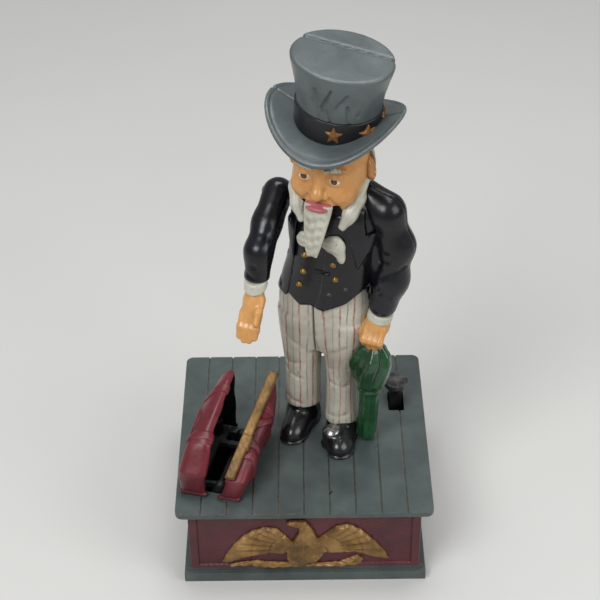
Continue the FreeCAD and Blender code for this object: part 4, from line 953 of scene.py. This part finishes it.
def brim_mid(x, y):
    u = (x - 7.1) / 33.7
    v = (y + 3) / 27
    return 243 + 10.2 * u ** 2 - 0.3 * u - np.where(v < 0, 5.6, 1.0) * v ** 2


def crown_field(x, y, z):
    side, u, v, w = crown(x, y, z)
    top = w - 281.5 + np.where(y < 0, 0.9, 0)
    d = smax(side, top, 1.6)
    d = smax(d, 241 - w, 0.5)
    dents = [((-6, -20, 272), (-8, -20, 257), 1.1, 1.1), ((-2, -21, 266), (-4, -21, 256), 0.7, 0.7),
             ((3, -21.5, 272), (5, -21.5, 257), 1.0, 0.9), ((11, -21.5, 274), (7, -21, 262), 1.2, 1.0),
             ((9, -21.5, 262), (11, -21, 256), 0.8, 0.7), ((18, -20, 272), (14, -21, 264), 0.9, 1.1),
             ((18, -19, 266), (19.5, -19, 256), 1.1, 0.9), ((25, -14, 274), (22, -16, 260), 0.9, 1.0),
             ((-11, -14, 271), (-10, -16, 260), 0.8, 1.1), ((2, -21.5, 265.7), (2.3, -21.5, 265.2), 1.4, 0.8)]
    d = d + folds(u, v, w, dents)
    return parting(d, y, 0.6, 0.5)


def brim_field(x, y, z):
    deep = np.where(y < -3, 30.6, 27.4)
    a, b = (x - 7.6) / 33.4, (y + 3) / deep
    k0 = np.sqrt(a * a + b * b) + 1e-6
    k1 = np.sqrt((a / 33.4) ** 2 + (b / deep) ** 2) + 1e-6
    edge = k0 * (k0 - 1) / k1
    slope = 1 / np.sqrt(1 + (20.4 * (x - 7.1) / 33.7 ** 2) ** 2 + np.where(y < 0,
                                                                           (11.2 * (y + 3) / 27 ** 2) ** 2,
                                                                           0))
    d = smax((np.abs(z - brim_mid(x, y)) - 1.35) * slope, edge, 1.6)
    roll = 0.5 * np.exp(-(((edge + 2.6) / 0.5) ** 2))
    return parting(d + roll * 0.6, y, 0.6, 0.5)


def band_field(x, y, z):
    side, _, _, w = crown(x, y, z)
    d = smax(side - 0.9, np.maximum(243 - w, w - 256), 0.6)
    return parting(d, y, 0.5, 0.5)


def stars_field(x, y, z):
    side, u, v, w = crown(x, y, z)
    turn = np.arctan2(u - 9, -(v + 4))
    best = None
    for degrees in (14, 62, 110, 158, -154, -106):
        off = (turn - math.radians(degrees) + math.pi) % math.tau - math.pi
        s, t = off * 21.0, w - 249.8
        points = []
        for i in range(10):
            r = 5.3 if i % 2 == 0 else 2.35
            points.append((r * math.sin(i * math.pi / 5), r * math.cos(i * math.pi / 5)))
        star = outline(s, t, points)
        best = star if best is None else np.minimum(best, star)
    puff = 1.7 + np.clip(-best, 0, 1.6) * 0.45
    return smax(best, np.maximum(side - puff, -side - 1), 0.4)


dress(skin_of("hat_crown", crown_field, (-20, -27, 237), (40, 20, 285), 0.55), HAT)
dress(skin_of("hat_brim", brim_field, (-27, -35, 230), (42, 26, 259), 0.55), HAT)
dress(skin_of("hat_band", band_field, (-16, -26, 239), (35, 19, 262), 0.5), FELT)
dress(skin_of("hat_stars", stars_field, (-18, -28, 239), (37, 21, 262), 0.45), STAR)

# ---------------------------------------------------------------- umbrella

def umbrella(x, y, z):
    cx = 27.2 + (z - 52) * 0.035
    cy = -5.5 + 0 * z
    turn = np.arctan2(x - cx, y - cy)
    line = [(53, 3.4), (56, 4.4), (62, 4.7), (72, 4.8), (86, 5.0), (90, 6.2), (94, 8.4), (100, 9.4),
            (107, 9.8),
            (112, 8.6), (116, 6.0), (119, 3.4)]
    zs, rs = zip(*line)
    base = np.interp(z, zs, rs)
    fine = np.interp(z, [53, 70, 86, 92], [0.35, 0.5, 0.5, 0.0])
    wide = np.interp(z, [86, 95, 104, 112, 119], [0.0, 0.9, 1.6, 1.2, 0.3])
    swirl = turn + 0.03 * (z - 80)
    r = base + fine * np.cos(turn * 6) + wide * (np.cos(swirl * 5) + 0.35 * np.cos(swirl * 11 + 1))
    strap = 1.0 * np.exp(-(((z - 88.0) / 1.5) ** 2))
    d = (np.sqrt((x - cx) ** 2 + (y - cy) ** 2) - r - strap) * 0.8
    return smax(d, np.maximum(53 - z, z - 119), 1.0)


def umbrella_stick(x, y, z):
    d = chain(x, y, z, [(27.2, -5.5, DECK + 0.9, 0.8), (27.3, -5.5, 56, 1.2), (27.5, -5.5, 60, 1.6)], 0.5)
    ring = np.sqrt((np.sqrt((x - 27.4) ** 2 + (y + 5.5) ** 2) - 2.6) ** 2 + (z - 58.5) ** 2) - 0.9
    handle = limb(x, y, z, (29.3, -5.5, 116), (30.2, -5.2, 127), 2.2, 2.4)
    return np.minimum(np.minimum(d, ring), handle)


dress(skin_of("umbrella", umbrella, (15, -18, 52), (42, 8, 121), 0.5), GREEN)
dress(skin_of("umbrella_stick", umbrella_stick, (22, -11, 49), (36, 0, 131), 0.4), BLACK)

# ---------------------------------------------------------------- front panel and its bird

PANEL_LOW, PANEL_HIGH = low("front_panel"), high("front_panel")
PANEL_FACE = PANEL_LOW[1]
LEFT_WING = [(-43.6, 12.4), (-41.3, 18.4), (-37.6, 24.9), (-32.6, 31.5), (-27, 36.2), (-20.1, 38.6),
             (-14.1, 37.4), (-10.1, 32.6), (-5.5, 26.7), (-6, 20), (-12.2, 18.8), (-18.4, 19.5),
             (-25.3, 18.4), (-32.3, 15.8), (-39.4, 12.3)]
BIRD_BODY = [(-9.5, 41.4), (-7.9, 43.0), (-5.1, 43.6), (0.4, 42.8), (3.6, 38.4), (6.4, 31), (10.4, 24.5),
             (9.6, 18.5), (6.4, 13.6), (-1.1, 11.2), (-7, 11.8), (-9.6, 15.8), (-9.2, 22.8), (-5.7, 28.7),
             (-2.9, 34.5), (-3.3, 38.9), (-5.9, 39.4)]
RIGHT_WING = [(6, 28.4), (11.5, 34.6), (16.1, 39), (22.6, 40.5), (29.4, 35.9), (36.3, 28), (42, 20),
              (44.2, 14.3), (38.3, 15.4), (31.7, 18.1), (25.8, 20.2), (18, 19.3), (10, 19.4), (6, 22)]
BRANCH = [(-41.6, 10.3), (-33.8, 12.8), (-25.5, 13.9), (-18.6, 12.6), (-6, 12.2), (8, 11.4), (18, 12.4),
          (27.2, 17.4), (30.6, 14.6), (29.6, 10), (18, 8.7), (4, 8.8), (-8, 8.6), (-18.8, 8.1), (-28.4, 9.8),
          (-39.5, 9.4)]


def bird(x, y, z):
    out = PANEL_FACE - y
    fans = []
    for edge, root, lift in ((LEFT_WING, (-4, 24), 1.9), (RIGHT_WING, (6, 24), 1.9)):
        inside = -outline(x, z, edge)
        rx, rz = x - root[0], z - root[1]
        reach = np.sqrt(rx * rx + rz * rz)
        turn = np.arctan2(rz, np.abs(rx) + 0.01)
        quill = (np.abs(((turn * 5.2) % 1.0) - 0.5) * 4 - 1) * 0.55 * np.clip((reach - 10) / 8, 0, 1)
        rank = -np.exp(-((((reach + turn * 4) % 9.5) - 4.7) / 0.7) ** 2) * 0.7 * np.clip(1.5 - reach / 30,
                                                                                         0, 1)
        fans.append(np.where(inside > 0, np.minimum(inside * 1.1, lift - 0.012 * reach) + quill + rank, -1.0))
    inside = -outline(x, z, BIRD_BODY)
    scales = 0.28 * np.cos(x * 1.7 + np.floor(z / 2.3) * math.pi) * np.cos(z * 2.73)
    shape = np.where(inside > 0, np.minimum(0.8 + np.sqrt(np.maximum(inside, 0)) * 1.15, 3.0) + scales, -1.0)
    fans.append(shape)
    inside = -outline(x, z, BRANCH)
    bark = 0.3 * np.sin(x * 1.1 + 1.3 * np.sin(z * 1.6)) + 0.15 * np.sin(z * 5)
    fans.append(np.where(inside > 0, np.minimum(inside * 0.9, 1.3) + bark, -1.0))
    height = fans[0]
    for one in fans[1:]:
        height = np.maximum(height, one)
    eye_dip = np.exp(-(((x + 4.4) ** 2 + (z - 41.2) ** 2) / 0.4)) * 0.9
    d = (out - height + eye_dip) * 0.75
    return smax(d, -out - 0.6, 0.1)


def front_panel(x, y, z):
    middle = (PANEL_LOW + PANEL_HIGH) / 2
    half = (PANEL_HIGH - PANEL_LOW) / 2
    thick = PANEL_HIGH[1] - PANEL_FACE
    d = brick(x, y, z, (middle[0], PANEL_FACE + 0.6 + thick / 2, middle[2]), (half[0], thick / 2, half[2]),
              0.5)
    inner = np.maximum(np.abs(x - middle[0]) - half[0] + 4.6, np.abs(z - middle[2]) - half[2] + 2.0)
    frame_part = smax(brick(x, y, z, (middle[0], PANEL_FACE + 0.35, middle[2]), (half[0], 0.9, half[2]), 0.5),
                      -inner, 0.5)
    stipple = 0.12 * np.sin(x * 2.3 + np.sin(z * 1.9)) * np.sin(z * 2.6 + np.sin(x * 1.3))
    return smin(d + stipple * (y < PANEL_FACE + 2), frame_part, 0.4)


panel_piece = skin_of("front_panel_face", front_panel, PANEL_LOW - (1, 1.6, 1), PANEL_HIGH + (1, 1.2, 1),
                      0.55,
                      row_place)
dress(panel_piece, MAROON, "base", ("front_panel",))
bird_piece = skin_of("bird_relief", bird, (-46, PANEL_FACE - 3.8, 6), (47, PANEL_FACE + 1.6, 46), 0.36,
                     row_place)
dress(bird_piece, GILT)

# ---------------------------------------------------------------- the bag's trimmings

BAG_RUN = 29.0
LEAN = math.tan(math.radians(19))
MEETING_FOOT = 3.0
MEETING_DEPTH = 0.57
HINGE = BAG_PIN[2] - DECK
SIDE_VIEW = [(-BAG_RUN, 0), (BAG_RUN, 0), (BAG_RUN + 2, 20), (BAG_RUN + 1.5, 40), (20, 40), (-19, 29),
             (-BAG_RUN, 16)]
MOVING_VIEW = [(-BAG_RUN, 0), (BAG_RUN, 0), (BAG_RUN + 2, 20), (BAG_RUN + 1.8, 37.4), (-BAG_RUN, 16)]
MOVING_SIDE = [(-BAG_RUN + 2.6, -2), (BAG_RUN - 2.6, -2), (BAG_RUN - 0.6, 20), (BAG_RUN - 0.8, 34.6),
               (-BAG_RUN + 2.6, 14)]
SIDE_HOLLOW = [(-BAG_RUN + 2.6, -2), (BAG_RUN - 2.6, -2), (BAG_RUN - 0.6, 20), (BAG_RUN - 1.1, 37.4),
               (20, 37.4), (-18, 26.4), (-BAG_RUN + 2.6, 13.4)]
MOVING_END = [(3.3, .3), (16.3, 38.2), (21.9, 36.2), (22.8, 26), (20.0, 9), (16.4, .3)]
MOVING_HOLLOW = [(0.3, -1), (13.9, 36.2), (19.3, 33.8), (19.8, 25), (16.8, 9), (13.4, -1)]
FIXED_END = [(0, 0), (0, 41), (-4.6, 41), (-12.8, 28), (-17.6, 10), (-15.8, 0)]
FIXED_HOLLOW = [(1, -1), (1, 38), (-2.6, 37.4), (-9.8, 26), (-14.2, 10), (-12.8, -1)]
BAG_EAR = 20.0


def bag_shell(x, y, z, end, hollow, views, foot, side, meeting):
    outer = smax(outline(x, z, end), outline(y, z, views[0]), 6.0)
    slack = 0.5 * np.sin(y * 0.21 + 0.6 * np.sin(z * 0.2)) * np.sin(z * 0.17 + 0.4)
    crease = folds(x, y, z, [((16 * side, -24, 3), (19 * side, -12, 9), 0.6, 1.1),
                             ((19 * side, 26, 6), (20 * side, 16, 12), 0.6, 1.1),
                             ((17 * side, -26, 12), (17 * side, -18, 10), 0.5, 1.0)])
    outer = outer + slack + crease
    strap = None
    for at in (-14.0, 15.0):
        one = smax(outer - 0.9, np.abs(y - at) - 2.3, 0.6)
        strap = one if strap is None else np.minimum(strap, one)
    bail = np.abs(np.sqrt((y - 1.0) ** 2 + ((z - 20) * 1.1) ** 2) - 10.0) - 1.5
    bail = smax(outer - 1.5, np.maximum(bail, 19 - z), 0.9)
    hem = smax(outer - 0.6, z - 2.6, 0.5)
    outer = smin(smin(smin(outer, strap, 0.5), bail, 0.6), hem, 0.5)
    outer = smax(outer, np.maximum(foot - z, meeting), 0.4)
    inside = np.maximum(outline(x, z, hollow), outline(y, z, views[1]))
    return smax(outer, -inside, 0.7)


def past_meeting(x, z):
    """Distance past the leaning plane where the halves meet, positive on the fixed half's side."""
    return (MEETING_FOOT + (z + MEETING_DEPTH) * LEAN - x) * math.cos(math.atan(LEAN))


def bag_moving(x, y, z):
    meeting = past_meeting(x, z)
    d = bag_shell(x, y, z, MOVING_END, MOVING_HOLLOW, (MOVING_VIEW, MOVING_SIDE), 0.35, 1, meeting)
    for side in (-1, 1):
        ear = limb(x, y, z, (0, side * BAG_EAR, HINGE), (4.2, side * BAG_EAR, 3.0), 2.9, 2.9)
        d = np.minimum(d, smax(ear, np.abs(y - side * BAG_EAR) - 2.45, 0.3))
    tail = limb(x, y, z, (0, BAG_EAR, HINGE), (10.1, BAG_EAR, HINGE - 1.7), 1.5, 2.4)
    d = np.minimum(d, smax(tail, np.abs(y - BAG_EAR + 0.5) - 3.4, 0.3))
    return smax(d, 1.56 - np.sqrt(x * x + (z - HINGE) ** 2) + 0 * y, 0.1)


def bag_fixed(x, y, z):
    d = bag_shell(x, y, z, FIXED_END, FIXED_HOLLOW, (SIDE_VIEW, SIDE_HOLLOW), 0.05, -1, x)
    for by in (-21.5, 21.5):
        post = np.sqrt((x + 10.4) ** 2 + (y - by) ** 2)
        boss = smax(post - 3.6, np.maximum(z - 10, 0.05 - z), 0.4)
        d = smax(np.minimum(d, boss), -np.maximum(post - 1.56, z - 7), 0.1)
    return d


moving = skin_of("bag_moving_shell", bag_moving, (-5, -34, HINGE - 6), (26, 35, 41), 0.5, bag_place)
dress(moving, CAST_CRIMSON, "bag", ("bag_moving_half",))
blacken_inside(moving, lambda x, y, z: (outline(x, z, MOVING_HOLLOW) < 0.6) & (outline(y, z,
                                                                                       MOVING_SIDE) < 0.6))
fixed = skin_of("bag_fixed_shell", bag_fixed, (-22, -34, -1.5), (3, 35, 44), 0.5, bag_place)
dress(fixed, CAST_CRIMSON, "base", ("bag_fixed_half",))
blacken_inside(fixed, lambda x, y, z: (outline(x, z, FIXED_HOLLOW) < 0.6) & (outline(y, z,
                                                                                     SIDE_HOLLOW) < 0.6))

RIM_BACK, RIM_FRONT = np.array((15.6, 32.5, 38.6)), np.array((8.2, -28.6, 17.4))


def clasp_bar(x, y, z):
    """A flat hammered bar along the moving half's rim, with a latch two thirds of the way down."""
    run = RIM_FRONT - RIM_BACK
    long = math.sqrt(run @ run)
    along = run / long
    wide = np.cross(along, (0, 0, 1.0))
    wide = -wide / math.sqrt(wide @ wide)
    thick = np.cross(along, wide)
    dx, dy, dz = x - RIM_BACK[0], y - RIM_BACK[1], z - RIM_BACK[2]
    s, u, v = (dx * axis[0] + dy * axis[1] + dz * axis[2] for axis in (along, wide, thick))
    v = v - 1.2
    d = smax(np.maximum(np.abs(s - long / 2) - long / 2, np.abs(u - 3.2) - 3.4), np.abs(v) - 1.6, 0.9)
    latch = smax(np.maximum(np.abs(s - long * 0.67) - 3.6, np.abs(u - 3.4) - 4.0), np.abs(v) - 2.4, 1.2)
    hammer = 0.09 * np.cos(s * 1.5 + np.sin(u)) * np.cos(u * 1.6 + 0.5 * np.sin(s * 0.7))
    meeting = past_meeting(x, z)
    return smax(smin(d, latch, 1.0) + hammer, meeting, 0.5)


dress(skin_of("clasp_bar", clasp_bar, (0, -34, 10), (26, 38, 45), 0.4, bag_place), GILT,
      "bag")

# ---------------------------------------------------------------- CAD nodes that stay in sight

CAD_LOOKS = {
    "deck": (SLATE, 0.6), "plinth": (SLATE, 0.6),
    "front_panel": (MAROON, 0.4), "rear_panel": (MAROON, 0.4),
    "left_panel": (MAROON, 0.4), "right_panel": (MAROON, 0.4),
    "thumb_lever": (BLACK, 0.3), "bag_fixed_half": (CRIMSON, 0.3),
    "bag_moving_half": (CRIMSON, 0.3), "shoe_screw": (NICKEL, 0.25),
    "shoe_nut": (NICKEL, 0.25), "figure_screws": (NICKEL, 0.25),
    "bag_screws": (NICKEL, 0.2), "base_bolts": (BARE, 0.3),
    "trap_door": (BLACK, 0.25), "trap_screw": (NICKEL, 0.2),
}
for node_name, node in nodes.items():
    material, width = CAD_LOOKS.get(node_name, (BARE, 0.15))
    if node.hide_render:
        continue
    node.data.materials.clear()
    node.data.materials.append(material)
    bevel = node.modifiers.new("soft edges", "BEVEL")
    bevel.width = width / 1000
    bevel.segments = 2
    bevel.limit_method = "ANGLE"
    bevel.angle_limit = math.radians(35)
    bevel.harden_normals = True
    node.data.shade_smooth()

# ---------------------------------------------------------------- floor, light, camera

FLOOR = Nodes("pale floor")
tone = FLOOR.ramp(FLOOR.noise(3.0, 4.0), [(0.3, srgb(196, 196, 193)), (0.7, srgb(200, 200, 198))])
FLOOR.link(tone, FLOOR.shader.inputs["Base Color"])
FLOOR.shader.inputs["Roughness"].default_value = 0.85
floor_mesh = bpy.data.meshes.new("floor")
floor_mesh.from_pydata([(-4, -4, 0), (4, -4, 0), (4, 4, 0), (-4, 4, 0)], [], [(0, 1, 2, 3)])
floor = bpy.data.objects.new("floor", floor_mesh)
bpy.context.scene.collection.objects.link(floor)
floor_mesh.materials.append(FLOOR.material)


def softbox(name, place, aim, size, watts):
    light = bpy.data.lights.new(name, "AREA")
    light.shape = "RECTANGLE"
    light.size, light.size_y = size
    light.energy = watts
    obj = bpy.data.objects.new(name, light)
    obj.location = place
    direction = Vector(aim) - Vector(place)
    obj.rotation_euler = direction.to_track_quat("-Z", "Y").to_euler()
    bpy.context.scene.collection.objects.link(obj)
    return obj


softbox("key", (-0.55, -0.75, 1.15), (0, 0, 0.12), (0.6, 0.6), 11.0)
softbox("fill", (0.9, -0.55, 0.8), (0, 0, 0.12), (0.7, 0.7), 5.4)
softbox("top", (0.05, 0.25, 1.3), (0, 0, 0.15), (0.8, 0.6), 8.2)
world = bpy.data.worlds.new("studio")
world.use_nodes = True
world.node_tree.nodes["Background"].inputs["Color"].default_value = (1, 1, 1, 1)
world.node_tree.nodes["Background"].inputs["Strength"].default_value = 0.3
bpy.context.scene.world = world
bpy.context.scene.view_settings.view_transform = "Standard"

LENS_MM = 91.98
SENSOR_MM = 36
CAMERA_PLACE = (0, -0.6111, 0.6136)
pitch, yaw, roll = math.radians(37.72), math.radians(-0.09), math.radians(-0.724)
ahead = Vector((math.sin(yaw) * math.cos(pitch), math.cos(yaw) * math.cos(pitch), -math.sin(pitch)))
level = Vector((math.cos(yaw), -math.sin(yaw), 0))
above = level.cross(ahead)
right = math.cos(roll) * level + math.sin(roll) * above
up = -math.sin(roll) * level + math.cos(roll) * above
camera_data = bpy.data.cameras.new("camera")
camera_data.lens = LENS_MM
camera_data.sensor_width = SENSOR_MM
camera = bpy.data.objects.new("camera", camera_data)
camera.matrix_world = Matrix([(right[i], up[i], -ahead[i], CAMERA_PLACE[i]) for i in range(3)] + [(0, 0, 0,
                                                                                                   1)])
bpy.context.scene.collection.objects.link(camera)
bpy.context.scene.camera = camera
